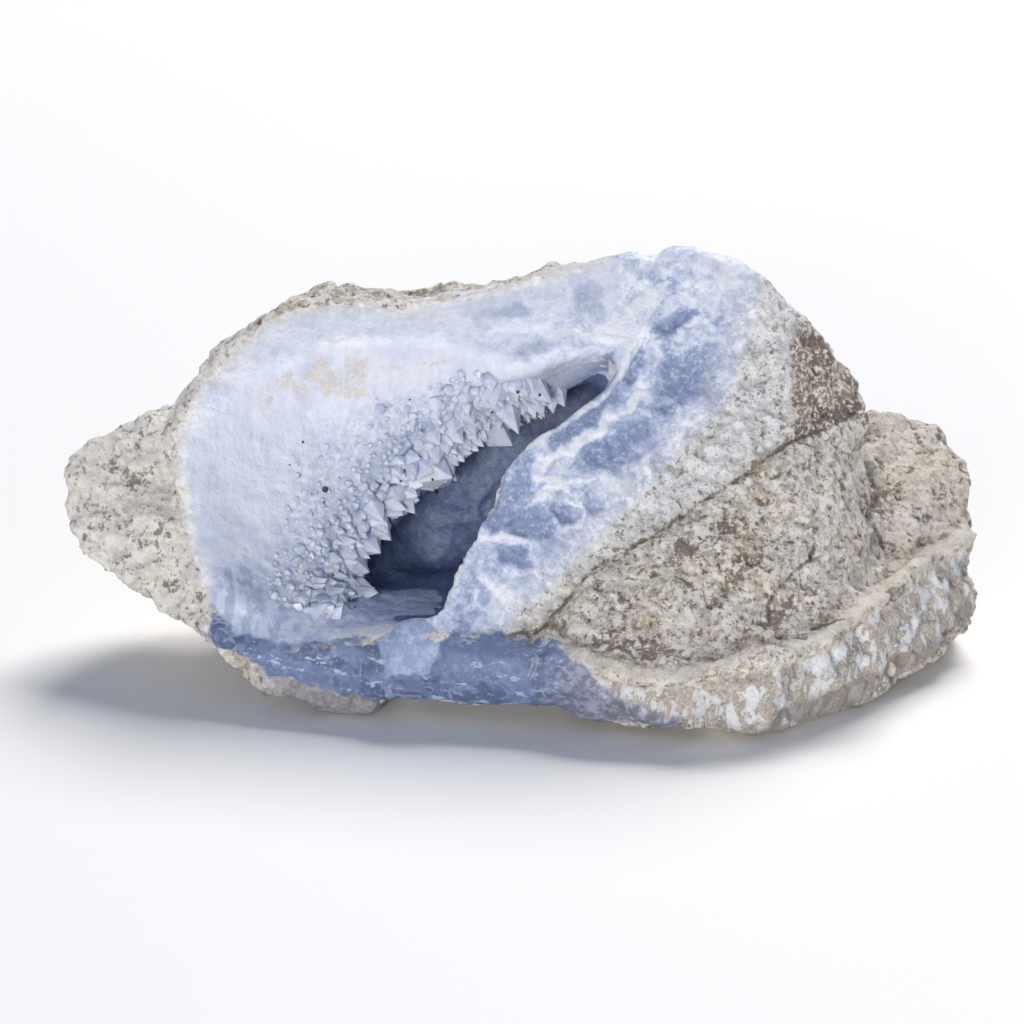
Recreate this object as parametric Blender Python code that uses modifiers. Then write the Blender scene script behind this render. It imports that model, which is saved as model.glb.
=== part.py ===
"""Rough blue chalcedony: a broken nodule whose open face shows a hollow lined with quartz points.

Run with: blender --background --python part.py
Metres, +Z up. +X runs along the stone's length and -Y is the side of the broken, open face.
The lists of corners are in millimetres; the finished part stands on z = 0 with its origin under its middle.
"""

import math
import random

import bmesh
import bpy
from mathutils import Matrix, Vector, noise
from mathutils.bvhtree import BVHTree

MM = 0.001

# Driving dimensions of the finish, in millimetres
REMESH_VOXEL = 0.8
EDGE_SMOOTHING = 3
STONE_TRIANGLES = 5800
MATRIX_RELIEF = 1.5
CHALCEDONY_RELIEF = 0.45
REST_BLEND = 2.5
FOOT_RELIEF = 5.0
FLAT_FOOT = 0.08

# The quartz crust, in millimetres: how far apart its points stand and how big they are
POINT_SPACING = 2.15
POINT_RADIUS = (1.3, 2.0)
POINT_SHAFT = (0.7, 1.4)
POINT_TIP = (1.3, 2.3)
POINT_ROOT = 2.2
CRUST_GAP = 0.3
DRUSE_REACH = 1.5
DRUSE_STEEPNESS = 0.72

# Directions in which the cuts below are opened: out of the broken face, up and down
OUTWARD = Vector((0, -0.951, 0.309))
UPWARD = Vector((0, 0, 1))
DOWNWARD = Vector((0, 0, -1))

# The left half of the nodule: its flat broken rim faces the front and leans back
BOWL = [
    (-44, -6, 36), (-44, -8, 32), (-43, -12, 23), (-40, -17, 15), (-38.6, -20, 8.4), (-36.3, -20.3, 5.2),
    (-32.5, -20.6, 3.2), (-20, -22, -1), (-40, -4, 40), (-36, -2, 43), (-33, -1, 46), (-28, 0.5, 48.7),
    (-25, 1, 50), (-8, 1, 51.7), (10, -1.5, 54.8), (16.5, -2.5, 55.8), (16, -5, 52), (14.5, -8, 45.5), (12, -22, 4), (20, -10, 40),
    (-42, 12, 30), (-38, 13, 38), (-26, 14, 44), (-8, 14, 46), (12, 14, 49), (-38, 10, 10), (-25, 8, -1),
    (-30, 26, 26), (-22, 27, 36), (0, 30, 38), (18, 30, 40), (-26, 26, 8), (0, 28, -1), (20, 28, -1),
    (-12, 34, 14), (-10, 35, 26), (8, 36, 28), (18, 35, 22),
]

# The dip in the top edge
SADDLE = [
    (-24, -14, 50.8), (-19, -14, 49.3), (-12, -14, 49.2), (-1.5, -14, 50.9), (8, -14, 54.0), (12, -14, 56.2),
    (-24, 40, 47.8), (-19, 40, 46.3), (-12, 40, 46.2), (-1.5, 40, 47.9), (8, 40, 51), (12, 40, 53.2),
]

# The shallow dish of the open face, as an ellipsoid: centre, radii and lean about X
DISH_CENTRE = (-18.6, -16.2, 28.6)
DISH_RADII = (26.6, 11.2, 20.0)
DISH_LEAN = -27.0

# The slope on which the quartz points stand, from the dish down to the lip of the hollow
DRUSE_SLOPE = [
    (-27.4, -16.5, 13.0), (-25.7, -9.9, 18.7), (-22.7, -5.6, 24.2), (-17.6, -3.0, 29.4), (-11.2, -2.5, 33.3),
    (-3.4, -4.3, 36.2), (-22.2, -8.6, 12.4), (-18.1, -6.6, 12.4), (-17.1, -4.6, 15.0), (-13.8, -2.7, 19.1),
    (-10.0, -1.2, 22.7), (-8.0, 0.2, 26.2), (-5.4, 1.0, 28.8), (-1.6, 0.8, 31.6), (1.0, 0.8, 34.1),
    (-6.0, -14, 20), (-9, -18, 13),
]

# The chip above the hollow, where the blue layer shows in section
ROOF_CHIP = [
    (-5.0, -5.0, 36.2), (-1.5, -5.2, 38.6), (6.1, -6.3, 41.6), (11.1, -7.4, 43.9), (13.2, -8.5, 44.6),
    (-4.1, -0.6, 32.8), (1.0, 0.2, 34.1), (6.2, 0.4, 34.4), (10.0, 0.4, 35.3), (14.0, 0, 37.2),
]

# The mouth of the hollow
MOUTH = [
    (-21.5, -8, 12.2), (-17.6, -5.6, 14.8), (-13.9, -3.0, 19.0), (-8.2, 0, 26.0), (-1.7, 1.0, 31.2), (1.0, 1.2, 33.4),
    (6.2, 0.4, 34.2), (12.9, -0.5, 37.0), (17, -4, 38), (10, 0, 20), (-5, -10, 12.2),
]

# The deep hollow behind the sharp edge; the wedge is set over its right side afterwards
HOLLOW = [
    (-21.5, -24, 12.2), (-9.5, -27, 12.2), (-22.2, -7.5, 12.0), (-17.6, -5.4, 14.8), (-13.9, -2.8, 19.0),
    (-8.2, 0.2, 26.0), (-1.7, 1.2, 31.2), (1.0, 1.6, 33.4), (6.2, 0.6, 34.2), (12.9, 0, 37.0), (14, -8, 40),
    (-18, 3, 12.4), (-13, 9, 18), (-6, 12, 25), (3, 13, 31), (12, 12, 35), (15, 6, 37), (-11, 7, 10.8),
    (-4, -24, 13), (2, -14, 16), (8, 6, 13), (14, 8, 26),
]

# The right half above the long crack: a steep chalcedony face with a sharp edge over the hollow, in two lumps
UPPER_WEDGE = [
    (-10.2, -25, 12.4), (-9, -24, 15.4), (-7.2, -22.5, 18.2), (-6, -20.3, 23.3), (-4.2, -18.6, 26.8),
    (-2.6, -17.3, 29.7), (0.8, -15.6, 32.7), (4, -14.5, 34.6), (8.5, -12.7, 37.4), (13, -10.6, 40.7),
    (34, -7.2, 42), (41, -1, 40), (46.3, 1, 35), (35.5, -11, 33), (28.8, -13.7, 28.5), (18.6, -17.3, 23.1),
    (11, -19.5, 19.8), (3.5, -24, 11), (15, 3, 38), (12, 0, 24), (2, -8, 12), (40, 16, 36), (30, 0, 12),
]
WEDGE_TOP = [
    (13, -10.6, 40.7), (16, -8.2, 45.3), (17.3, -6, 50), (18.5, -2.5, 55.6), (21.3, -2.8, 56.8), (24, -3, 56.4),
    (29, -3, 54.8), (33.3, -4, 50), (35.3, -4.5, 48.4), (36.8, 0, 47), (41, 1, 43), (43.6, 2, 38.6), (46.3, 1, 35),
    (35.5, -11, 33), (28.8, -13.7, 28.5), (18, -14, 31), (18, 10, 50), (24, 12, 50), (32, 14, 45), (40, 16, 36),
    (15, 3, 40), (18, 4, 26), (36, 4, 26),
]

# The right half below the crack: granular matrix that slopes down to the ledge
LOWER_WEDGE = [
    (3.5, -24.5, 12), (11, -20, 20.2), (18.6, -17.8, 23.4), (28.8, -14.2, 28.8), (36, -11, 33),
    (46, 0.5, 34.5), (46.5, 0, 25), (47.3, -8, 16), (41.3, -21, 12.5), (33.4, -26, 12.8), (23, -28, 12.4),
    (11, -28, 12.4), (2, -24, 8), (42, 18, 30), (20, 20, 34), (10, 0, 16), (41, 25, 2), (12, 24, -2),
    (40, -10, 1), (10, -10, -1),
]

# The back of the right half
RIGHT_BACK = [
    (14, 10, 48), (22, 12, 49), (18, 30, 39), (31, 16, 42), (40, 20, 30), (18, 35, 22), (34, 32, 20), (45, 27, 13),
    (20, 28, -1), (40, 28, -1), (29, 26, 36), (12, 2, 20), (36, 2, 20),
]

# The slab under the right half: its broken edge is the pale quartz band along the front
BASE_SLAB = [
    (7.8, -29.5, 11.8), (10.9, -31, 9.6), (15.7, -33, 9), (20.6, -34, 9.6), (25.5, -34, 10.7), (30.4, -33, 11.9),
    (35.5, -31, 12), (41.6, -24, 13), (45, -20, 13.8), (50, -12, 14.8), (54, -6, 15.4), (58, 2, 14.8),
    (10.9, -31, 7.3), (15.8, -32, 4.8), (22, -32.5, 1.8), (28.8, -32.5, 1.2), (30.6, -33, 2.2), (35.7, -30, 3.4),
    (42.3, -25, 4.7), (46.4, -21, 4.8), (53.5, -13, 5), (56, -9, 5.6), (60.5, 1, 7.8), (60, 6, 13),
    (24, -29.5, -1), (29, -29.5, -1), (35, -26.3, -0.4), (39.2, -23.2, -0.2), (45.8, -18.4, 0.2),
    (50.2, -13, 0.6), (53.4, -9.6, 1.0), (56.6, -2, 1.8), (59.2, 8, 3.2), (52, 18, 0.4), (40, 27, -1),
    (8, 27, -1), (6, -18, 0), (54, 20, 9), (40, 30, 8), (8, 30, 8),
]

# The low shoulder at the right, behind the slab
RIGHT_SHOULDER = [
    (47.5, 14, 27.4), (52.5, 17, 26.8), (57, 17, 27), (59.6, 15, 26.2), (61, 12, 24.6), (61, 8, 21.8),
    (61.3, 6, 19), (61, 6, 15.6), (60.4, 3, 9), (50, -7, 14), (54, -5, 15), (45, -4, 15), (44, 2, 22),
    (40, 16, 30), (42, 29, 24), (52, 28, 22), (58, 23, 18), (56, 21, 6), (42, 30, 4), (36, 20, 2),
]

# The spur of matrix at the left, set back behind the rim
LEFT_SPUR = [
    (-59.7, 0, 23), (-59.2, 2, 25.5), (-56.2, 3, 29), (-54.2, 3, 30.6), (-50, 2, 32), (-47, 1, 33.4), (-42, 2, 35),
    (-58.3, -3, 17.4), (-56.5, -4, 16), (-53, -6.2, 15.2), (-49.6, -9, 14), (-46, -12, 12), (-43.6, -14, 11),
    (-41.2, -17, 9.8), (-38, -17, 7.6), (-52, -5.6, 21), (-45, -11, 18), (-38, -8, 26), (-54, 10, 26),
    (-55, 9, 19), (-46, 16, 29), (-46, 15, 11), (-36, 6, 5), (-34, 20, 24),
]

# The front sill: the chalcedony wall in section below the hollow
SILL = [
    (-37.5, -19.5, 10.2), (-27, -23, 10.8), (-16, -25.5, 11.2), (-9, -26.5, 11.4), (3.5, -28.5, 11), (8.5, -30, 10.8),
    (11, -31, 7.5), (16, -30.5, 4.6), (22, -31, 1.8), (15, -26.5, 2), (6, -23.6, 2), (-9, -24, 3), (-17, -22.6, -1),
    (-26.5, -22, 1.5), (-33, -21.6, 3.4), (-34, -14, 6), (-16, -12, 11.6), (0, -14, 12.4), (12, -14, 12), (8, -10, 1),
    (-20, -8, 0),
]

# The upright splinter of white chalcedony on the sill
SPLINTER = [
    (-15.2, -27, 7.2), (-10.2, -28, 7.6), (-8.8, -27, 11.6), (-15.6, -27, 11.4), (-14.6, -25.8, 14.2),
    (-10.8, -25.8, 14.4), (-15, -21, 11), (-9, -21, 11), (-14, -23.5, 14), (-11, -23.5, 14.2), (-12, -24, 4),
]

# The hollow arch under the front, between the two feet
UNDERCUT = [
    (-20.5, -40, 0.6), (-16, -40, 3.2), (-9, -40, 4.2), (3.5, -40, 4.2), (8, -40, 2.4), (12.5, -40, 0.6),
    (-14, -12, 1.4), (-9, -12, 2.2), (3.5, -12, 2.2), (7, -12, 1.2),
]

LUMPS = {
    "upper_wedge": UPPER_WEDGE,
    "wedge_top": WEDGE_TOP,
    "lower_wedge": LOWER_WEDGE,
    "right_back": RIGHT_BACK,
    "base_slab": BASE_SLAB,
    "right_shoulder": RIGHT_SHOULDER,
    "left_spur": LEFT_SPUR,
    "sill": SILL,
    "splinter": SPLINTER,
}


def clear_scene():
    for old in list(bpy.data.objects):
        bpy.data.objects.remove(old)


def new_collection(name):
    made = bpy.data.collections.new(name)
    bpy.context.scene.collection.children.link(made)
    return made


def put(mesh, name, collection):
    obj = bpy.data.objects.new(name, mesh)
    collection.objects.link(obj)
    return obj


def finish(shape, name, collection):
    """Turns a bmesh into an object."""
    mesh = bpy.data.meshes.new(name)
    shape.to_mesh(mesh)
    shape.free()
    return put(mesh, name, collection)


def helper(obj):
    """Keeps a cutter or a guide out of the model."""
    obj.hide_render = True
    obj.display_type = "WIRE"
    return obj


def opened(corners, direction, length):
    """The corners of a cut surface, and the same corners moved clear of the stone."""
    return [Vector(corner) for corner in corners] + [Vector(corner) + direction * length for corner in corners]


def hull(name, corners, collection):
    """A lump of stone, or a cutter, as the convex hull of its corners."""
    shape = bmesh.new()
    for corner in corners:
        shape.verts.new(Vector(corner) * MM)
    made = bmesh.ops.convex_hull(shape, input=shape.verts)
    spare = {item for item in made["geom_interior"] + made["geom_unused"] if isinstance(item, bmesh.types.BMVert)}
    bmesh.ops.delete(shape, geom=list(spare), context="VERTS")
    bmesh.ops.recalc_face_normals(shape, faces=shape.faces)
    return helper(finish(shape, name, collection))


def ellipsoid(name, centre, radii, lean, collection):
    shape = bmesh.new()
    placed = (
        Matrix.Translation(Vector(centre) * MM)
        @ Matrix.Rotation(math.radians(lean), 4, "X")
        @ Matrix.Diagonal(Vector(radii) * MM).to_4x4()
    )
    bmesh.ops.create_icosphere(shape, subdivisions=4, radius=1.0, matrix=placed)
    return helper(finish(shape, name, collection))


def boolean(obj, other, operation, own_overlaps=False):
    cut = obj.modifiers.new(other.name, "BOOLEAN")
    cut.operation = operation
    cut.object = other
    cut.use_self = own_overlaps


def applied(obj):
    """The object with its modifiers worked into its mesh."""
    graph = bpy.context.evaluated_depsgraph_get()
    made = bpy.data.meshes.new_from_object(obj.evaluated_get(graph))
    obj.modifiers.clear()
    obj.data = made
    return obj


def build_block(cutters):
    """The lumps joined, with the hollow cut before the wedge is set over it."""
    block = hull("block", BOWL, cutters)
    cuts = [
        hull("saddle", opened(SADDLE, UPWARD, 12), cutters),
        ellipsoid("dish", DISH_CENTRE, DISH_RADII, DISH_LEAN, cutters),
        hull("druse_slope", opened(DRUSE_SLOPE, OUTWARD, 22), cutters),
        hull("roof_chip", opened(ROOF_CHIP, OUTWARD, 14), cutters),
        hull("mouth", opened(MOUTH, OUTWARD, 28), cutters),
        hull("hollow", HOLLOW, cutters),
    ]
    for cut in cuts:
        boolean(block, cut, "DIFFERENCE")
    for name, corners in LUMPS.items():
        boolean(block, hull(name, corners, cutters), "UNION")
    below = [(-80, -60, 0), (80, -60, 0), (-80, 60, 0), (80, 60, 0)]
    boolean(block, hull("undercut", opened(UNDERCUT, DOWNWARD, 8), cutters), "DIFFERENCE")
    boolean(block, hull("floor", opened(below, DOWNWARD, 20), cutters), "DIFFERENCE")
    return applied(block)


def ramp(value, start, end):
    """0 at start, 1 at end, straight between."""
    return min(1.0, max(0.0, (value - start) / (end - start)))


def matrix_share(point):
    """How far a place, in millimetres, belongs to the rough matrix: 0 on the chalcedony, 1 on the matrix."""
    x, y, z = point
    left = ramp(-0.33 * (z - 3) - 33 - x, -1.0, 1.5)
    behind_face = ramp(y - (0.5 * z - 27), 5.0, 8.0) * ramp(x, 0.0, 18.0)
    behind_rim = ramp(y - (0.5 * z - 25.5), 2.5, 5.0) * ramp(18.0 - x, 0.0, 8.0) * ramp(y, -2.0, 2.0)
    below_crack = ramp(11.5 + 0.47 * x - z, -1.5, 2.0) * ramp(x, 4.0, 12.0)
    back = ramp(y, 6.0, 12.0) * ramp(math.hypot(x - 2, z - 24), 18.0, 22.0)
    under = ramp(3.0 - z, -1.0, 1.0)
    return max(left, behind_face, behind_rim, below_crack, back, under)


def relief(point):
    """The height of the broken surface at a place, in millimetres: ledges and pits on the matrix, faint shells on
    the chalcedony."""
    broad = noise.fractal(point / 11.0, 0.9, 2.1, 4, noise_basis="PERLIN_ORIGINAL")
    ledges = noise.cell(Vector((point.x / 17.0, point.y / 17.0, point.z / 3.4 + 0.5 * broad)))
    pits = noise.voronoi(point / 6.5)[0][0]
    matrix = 1.25 * broad + 0.35 * (ledges - 0.5) - 0.9 * max(0.0, 0.32 - pits)
    shells = noise.fractal(point / 7.0 + Vector((31, 7, 3)), 1.0, 2.0, 3, noise_basis="PERLIN_ORIGINAL")
    share = matrix_share(point)
    return MATRIX_RELIEF * matrix * share + CHALCEDONY_RELIEF * shells * (1.0 - share)


def foot_hollow(point):
    """How far the underside is worn back at a place, in millimetres: nothing on the patches that meet the floor."""
    return FOOT_RELIEF * max(0.0, noise.noise(point / 13.0 + Vector((5, 9, 2))) - 0.05)


def roughen(obj):
    """Moves each vertex along its normal: by the relief, and on the underside by the foot's hollows."""
    mesh = obj.data
    heights = []
    for vertex in mesh.vertices:
        point = vertex.co / MM
        share = ramp(point.z, 0.0, REST_BLEND)
        heights.append((relief(point) * share - foot_hollow(point) * (1.0 - share)) * MM)
    normals = [item.vector.copy() for item in mesh.vertex_normals]
    for vertex, normal, height in zip(mesh.vertices, normals, heights):
        vertex.co += normal * height


def build_stone(block, collection):
    """The block with rounded breaks, its relief and the flat patches it rests on."""
    stone = put(block.data.copy(), "stone", collection)
    voxels = stone.modifiers.new("voxels", "REMESH")
    voxels.mode = "VOXEL"
    voxels.voxel_size = REMESH_VOXEL * MM
    soften = stone.modifiers.new("soften", "SMOOTH")
    soften.iterations = EDGE_SMOOTHING
    soften.factor = 0.5
    applied(stone)
    roughen(stone)
    again = stone.modifiers.new("again", "REMESH")
    again.mode = "VOXEL"
    again.voxel_size = REMESH_VOXEL * MM
    applied(stone)
    coarse = stone.modifiers.new("coarse", "DECIMATE")
    coarse.ratio = STONE_TRIANGLES / (2 * len(stone.data.polygons))
    applied(stone)
    for vertex in stone.data.vertices:
        if vertex.co.z < FLAT_FOOT * MM:
            vertex.co.z = 0.0
    return stone


def druse_places(stone, slope):
    """Well-spaced places on the stone's slope, each with the stone's normal there."""
    picker = random.Random(7)
    surface = stone.data
    surface.calc_loop_triangles()
    tree = BVHTree.FromPolygons(
        [vertex.co for vertex in slope.data.vertices], [face.vertices for face in slope.data.polygons]
    )
    triangles = []
    for triangle in surface.loop_triangles:
        corners = [surface.vertices[index].co for index in triangle.vertices]
        centre = (corners[0] + corners[1] + corners[2]) / 3
        if tree.find_nearest(centre)[3] < DRUSE_REACH * MM and triangle.normal.z < DRUSE_STEEPNESS:
            triangles.append((corners, triangle.normal.copy(), triangle.area))
    places = []
    for corners, normal, area in picker.choices(triangles, [item[2] for item in triangles], k=5000):
        u, v = picker.random(), picker.random()
        if u + v > 1:
            u, v = 1 - u, 1 - v
        spot = corners[0] + (corners[1] - corners[0]) * u + (corners[2] - corners[0]) * v
        if all((spot - taken).length > POINT_SPACING * MM for taken, _ in places):
            places.append((spot, normal))
    return places


def quartz_point(shape, spot, normal, picker):
    """One six-sided point: a shaft rooted in the stone and a tip with six flat faces."""
    axis = (normal + 0.35 * Vector([picker.uniform(-1, 1) for _ in range(3)])).normalized()
    turned = Matrix.Translation(spot) @ axis.to_track_quat("Z", "Y").to_matrix().to_4x4()
    turned = turned @ Matrix.Rotation(picker.uniform(0, math.tau), 4, "Z")
    radius = picker.uniform(*POINT_RADIUS) * MM
    shaft = picker.uniform(*POINT_SHAFT) * MM
    tip = picker.uniform(*POINT_TIP) * MM
    root = POINT_ROOT * MM
    bmesh.ops.create_cone(
        shape, cap_ends=True, segments=6, radius1=radius, radius2=radius, depth=shaft + root,
        matrix=turned @ Matrix.Translation((0, 0, (shaft - root) / 2)),
    )
    top = [face for face in shape.faces if all(
        abs((turned.inverted() @ v.co).z - shaft) < 1e-6 for v in face.verts) and len(face.verts) == 6]
    made = bmesh.ops.poke(shape, faces=top)
    for vertex in made["verts"]:
        vertex.co = turned @ Vector((radius * picker.uniform(-0.15, 0.15), radius * picker.uniform(-0.15, 0.15),
                                     shaft + tip))


def grown(stone, distance, collection):
    """The stone with its surface moved out, to cut a gap beside it."""
    copy = helper(put(stone.data.copy(), "stone_grown", collection))
    normals = [item.vector.copy() for item in copy.data.vertex_normals]
    for vertex, normal in zip(copy.data.vertices, normals):
        vertex.co += normal * distance
    return copy


def largest_body(obj):
    """Drops every piece of the mesh that isn't joined to its largest one."""
    shape = bmesh.new()
    shape.from_mesh(obj.data)
    unseen = set(shape.verts)
    bodies = []
    while unseen:
        body = set()
        edge = [unseen.pop()]
        while edge:
            vertex = edge.pop()
            body.add(vertex)
            for link in vertex.link_edges:
                other = link.other_vert(vertex)
                if other in unseen:
                    unseen.discard(other)
                    edge.append(other)
        bodies.append(body)
    kept = max(bodies, key=len)
    bmesh.ops.delete(shape, geom=[vertex for vertex in shape.verts if vertex not in kept], context="VERTS")
    shape.to_mesh(obj.data)
    shape.free()
    return obj


def build_crust(stone, collection, cutters):
    """The quartz points of the hollow, grown together in one crust that stands just clear of the stone."""
    picker = random.Random(11)
    shape = bmesh.new()
    for spot, normal in druse_places(stone, bpy.data.objects["druse_slope"]):
        quartz_point(shape, spot, normal, picker)
    crust = finish(shape, "crystal_crust", collection)
    boolean(crust, grown(stone, CRUST_GAP * MM, cutters), "DIFFERENCE", own_overlaps=True)
    return largest_body(applied(crust))


def paint(obj, colour, roughness):
    material = bpy.data.materials.new(obj.name)
    material.use_nodes = True
    surface = material.node_tree.nodes["Principled BSDF"]
    surface.inputs["Base Color"].default_value = colour
    surface.inputs["Roughness"].default_value = roughness
    surface.inputs["Metallic"].default_value = 0.0
    obj.data.materials.clear()
    obj.data.materials.append(material)


def stand_on_origin(objects):
    """Moves the meshes so that the middle of the foot of their shared box is the origin."""
    corners = [vertex.co for obj in objects for vertex in obj.data.vertices]
    low = Vector([min(corner[axis] for corner in corners) for axis in range(3)])
    high = Vector([max(corner[axis] for corner in corners) for axis in range(3)])
    shift = Matrix.Translation((-(low.x + high.x) / 2, -(low.y + high.y) / 2, -low.z))
    for obj in objects:
        obj.data.transform(shift)


def main():
    clear_scene()
    parts = new_collection("rough_chalcedony")
    cutters = new_collection("cutters")
    block = build_block(cutters)
    stone = build_stone(block, parts)
    crust = build_crust(stone, parts, cutters)
    paint(stone, (0.50, 0.48, 0.49, 1.0), 0.7)
    paint(crust, (0.50, 0.55, 0.70, 1.0), 0.3)
    stand_on_origin([stone, crust])


main()
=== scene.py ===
# Rough chalcedony: the broken stone, its quartz points and specks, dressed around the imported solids.
import math

import bmesh
import bpy
import numpy as np
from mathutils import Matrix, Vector
from mathutils.bvhtree import BVHTree


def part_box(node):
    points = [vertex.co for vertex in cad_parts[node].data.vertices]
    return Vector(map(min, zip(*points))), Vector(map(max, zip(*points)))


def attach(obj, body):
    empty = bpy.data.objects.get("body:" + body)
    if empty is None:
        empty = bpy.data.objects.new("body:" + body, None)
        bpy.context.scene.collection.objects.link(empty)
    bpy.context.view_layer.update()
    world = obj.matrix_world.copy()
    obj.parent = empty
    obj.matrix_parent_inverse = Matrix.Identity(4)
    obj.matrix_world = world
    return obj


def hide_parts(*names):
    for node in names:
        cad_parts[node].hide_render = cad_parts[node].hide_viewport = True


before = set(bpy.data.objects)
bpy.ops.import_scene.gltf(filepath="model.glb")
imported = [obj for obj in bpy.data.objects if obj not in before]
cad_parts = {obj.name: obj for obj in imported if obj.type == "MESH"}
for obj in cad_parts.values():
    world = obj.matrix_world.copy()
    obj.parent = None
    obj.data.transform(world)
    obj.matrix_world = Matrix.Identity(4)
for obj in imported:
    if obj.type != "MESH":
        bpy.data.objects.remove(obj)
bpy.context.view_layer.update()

bl_info = {
    "name": "Rough chalcedony",
    "version": (1, 0, 0),
    "blender": (4, 5, 0),
    "location": "View3D > Sidebar > Chalcedony",
    "description": "Dresses the packed chalcedony with its broken surface, quartz points, specks and stage",
    "category": "Object",
}

MM = 0.001
# Where the frame's origin lies in the millimetres that the marks below are noted in
MARK_ORIGIN = np.array((1.374, 0.9, 0.0))
# The front view in which the marks are noted: its aim, its distance and how far it looks down
FRONT_AIM = np.array((0.0, 0.0, 20.0))
FRONT_DISTANCE = 520.0
FRONT_DOWN = math.radians(18.0)
# Its directions away from its eye and up, and its eye's place
FRONT_AWAY = np.array((0.0, math.cos(FRONT_DOWN), -math.sin(FRONT_DOWN)))
FRONT_UP = np.array((0.0, math.sin(FRONT_DOWN), math.cos(FRONT_DOWN)))
FRONT_EYE = FRONT_AIM - FRONT_DISTANCE * FRONT_AWAY
# What the front view takes in, in millimetres across at its aim, and the camera's sensor
FRONT_WIDTH = 133.12
SENSOR = 36.0
# The plane of the blue face: how far it leans back for each millimetre up, and where it meets the ground
FACE_LEAN = 0.5
FACE_FOOT = -27.0
# The front view's grid squares, and how far behind the first surface a place still counts as seen: for the
# marks, and for the finer grid
SEEN_SQUARE = 0.9
SEEN_REACH = 1.6
REFINED_REACH = 2.5
# How many rounds of smoothing the even grid gets, and how far above the floor its lowest points stay
SMOOTHING = 4
FLOOR_GAP = 0.02 * MM
# How near the crust and its box a quartz point stands, and how far from the edge the points are smallest
CRUST_REACH = 2.6 * MM
CRUST_MARGIN = 2.0 * MM
DRUSE_SPAN = 11.0
# The rings and sides of a mineral speck
SPECK_RINGS = 7
SPECK_SIDES = 10

# Marks of the front view: across and up, in millimetres from its aim
ARC = [
    (-43.0, -6.0), (-41.9, 3.0), (-41.2, 9.4), (-39.8, 14.0), (-36.2, 17.6), (-27.6, 20.6), (-17.2, 21.7),
    (-8.1, 21.7), (-1.6, 20.8), (3.6, 18.5),
]
RIDGE = [
    (-10.9, -15.6), (-9.4, -12.1), (-7.4, -8.8), (-6.0, -3.0), (-4.2, 1.2), (-2.6, 4.4), (1.0, 7.8),
    (4.3, 10.0), (8.8, 13.3), (11.4, 15.0), (13.4, 17.2), (16.6, 22.4), (17.9, 27.6),
]
OPEN_FACE = [
    (-43.6, 5.5), (-43.2, 10.7), (-42.2, 14.0), (-39.4, 17.8), (-35.4, 21.8), (-31.6, 24.9),
    (-28.0, 26.6), (-22.4, 27.0), (-14.6, 26.6), (-9.4, 27.8), (-1.6, 29.4), (6.2, 31.6), (11.4, 33.2),
    (16.6, 35.6), (22.0, 37.0), (22.0, 18.0), (10.0, 12.0), (0.0, 5.0), (-6.0, -6.0), (-10.0, -16.6),
    (-20.0, -17.0), (-27.6, -18.6), (-36.4, -17.6), (-39.9, -10.6), (-42.1, -4.3),
]
BLUE_FACE = [
    (-11.6, -15.9), (-9.6, -12.1), (-6.2, -3.0), (-2.8, 4.4), (4.0, 10.2), (11.2, 15.2), (13.2, 17.4),
    (16.2, 22.4), (15.0, 27.6), (12.0, 38.0), (24.4, 38.3), (31.3, 34.2), (32.6, 28.9), (30.5, 21.4),
    (28.0, 14.2), (22.0, 8.4), (15.6, 1.2), (8.5, -6.2), (3.3, -11.4), (-1.6, -16.0),
]
CRACK = [
    (-1.6, -16.1), (3.6, -15.2), (6.2, -12.7), (11.4, -6.5), (19.2, -2.6), (24.4, 1.2), (29.6, 4.2),
    (32.9, 6.8), (36.1, 9.1), (42.0, 11.3), (47.7, 14.7),
]
SMALL_CRACKS = [
    [(39.4, -4.3), (38.6, -6.3), (37.0, -7.4), (36.0, -8.6), (34.4, -10.2), (33.5, -12.1), (33.8, -14.0)],
    [(39.0, -14.9), (41.0, -14.3), (42.4, -13.8), (43.9, -14.3)],
    [(46.6, 5.4), (47.6, 2.4), (46.9, -1.0), (48.4, -4.6)],
]
PATINA = [
    (36.6, 26.2), (39.4, 26.0), (43.9, 20.7), (49.2, 14.7), (46.5, 12.2), (37.4, 9.4), (35.9, 14.6),
]
LEDGE = [
    (4.3, -16.6), (6.2, -17.9), (11.4, -20.3), (16.6, -21.8), (21.8, -21.7), (27.0, -20.5), (32.2, -19.0),
    (37.4, -18.2), (41.3, -16.6), (43.3, -14.7), (46.5, -12.5), (49.1, -10.8), (51.1, -8.8), (54.3, -6.2),
    (60.0, -3.0),
]
BAND_FOOT = [
    (24.0, -32.0), (32.2, -28.6), (37.4, -26.0), (43.9, -23.1), (47.8, -21.6), (54.3, -18.6), (60.0, -12.0),
]
SILL = [
    (-39.3, -12.5), (-36.4, -16.2), (-27.6, -17.5), (-16.5, -16.6), (-9.4, -16.2), (-4.2, -15.6),
    (3.6, -16.6), (8.2, -18.6), (11.4, -23.1), (17.3, -25.2), (23.8, -29.0), (11.4, -28.3), (3.6, -26.2),
    (-9.4, -24.6), (-14.6, -24.6), (-22.6, -23.8), (-30.6, -21.6), (-36.1, -18.7), (-39.7, -16.8),
]
WHITE_BLOCK = [(-17.0, -17.4), (-15.6, -14.0), (-11.2, -13.8), (-9.2, -16.6), (-10.7, -21.1), (-16.1, -21.3)]
SEAM = [
    (-45.4, 14.4), (-46.0, 9.4), (-45.4, 4.2), (-43.8, -1.0), (-42.2, -5.6), (-39.9, -10.1),
    (-37.7, -13.8), (-35.5, -19.0),
]
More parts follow.
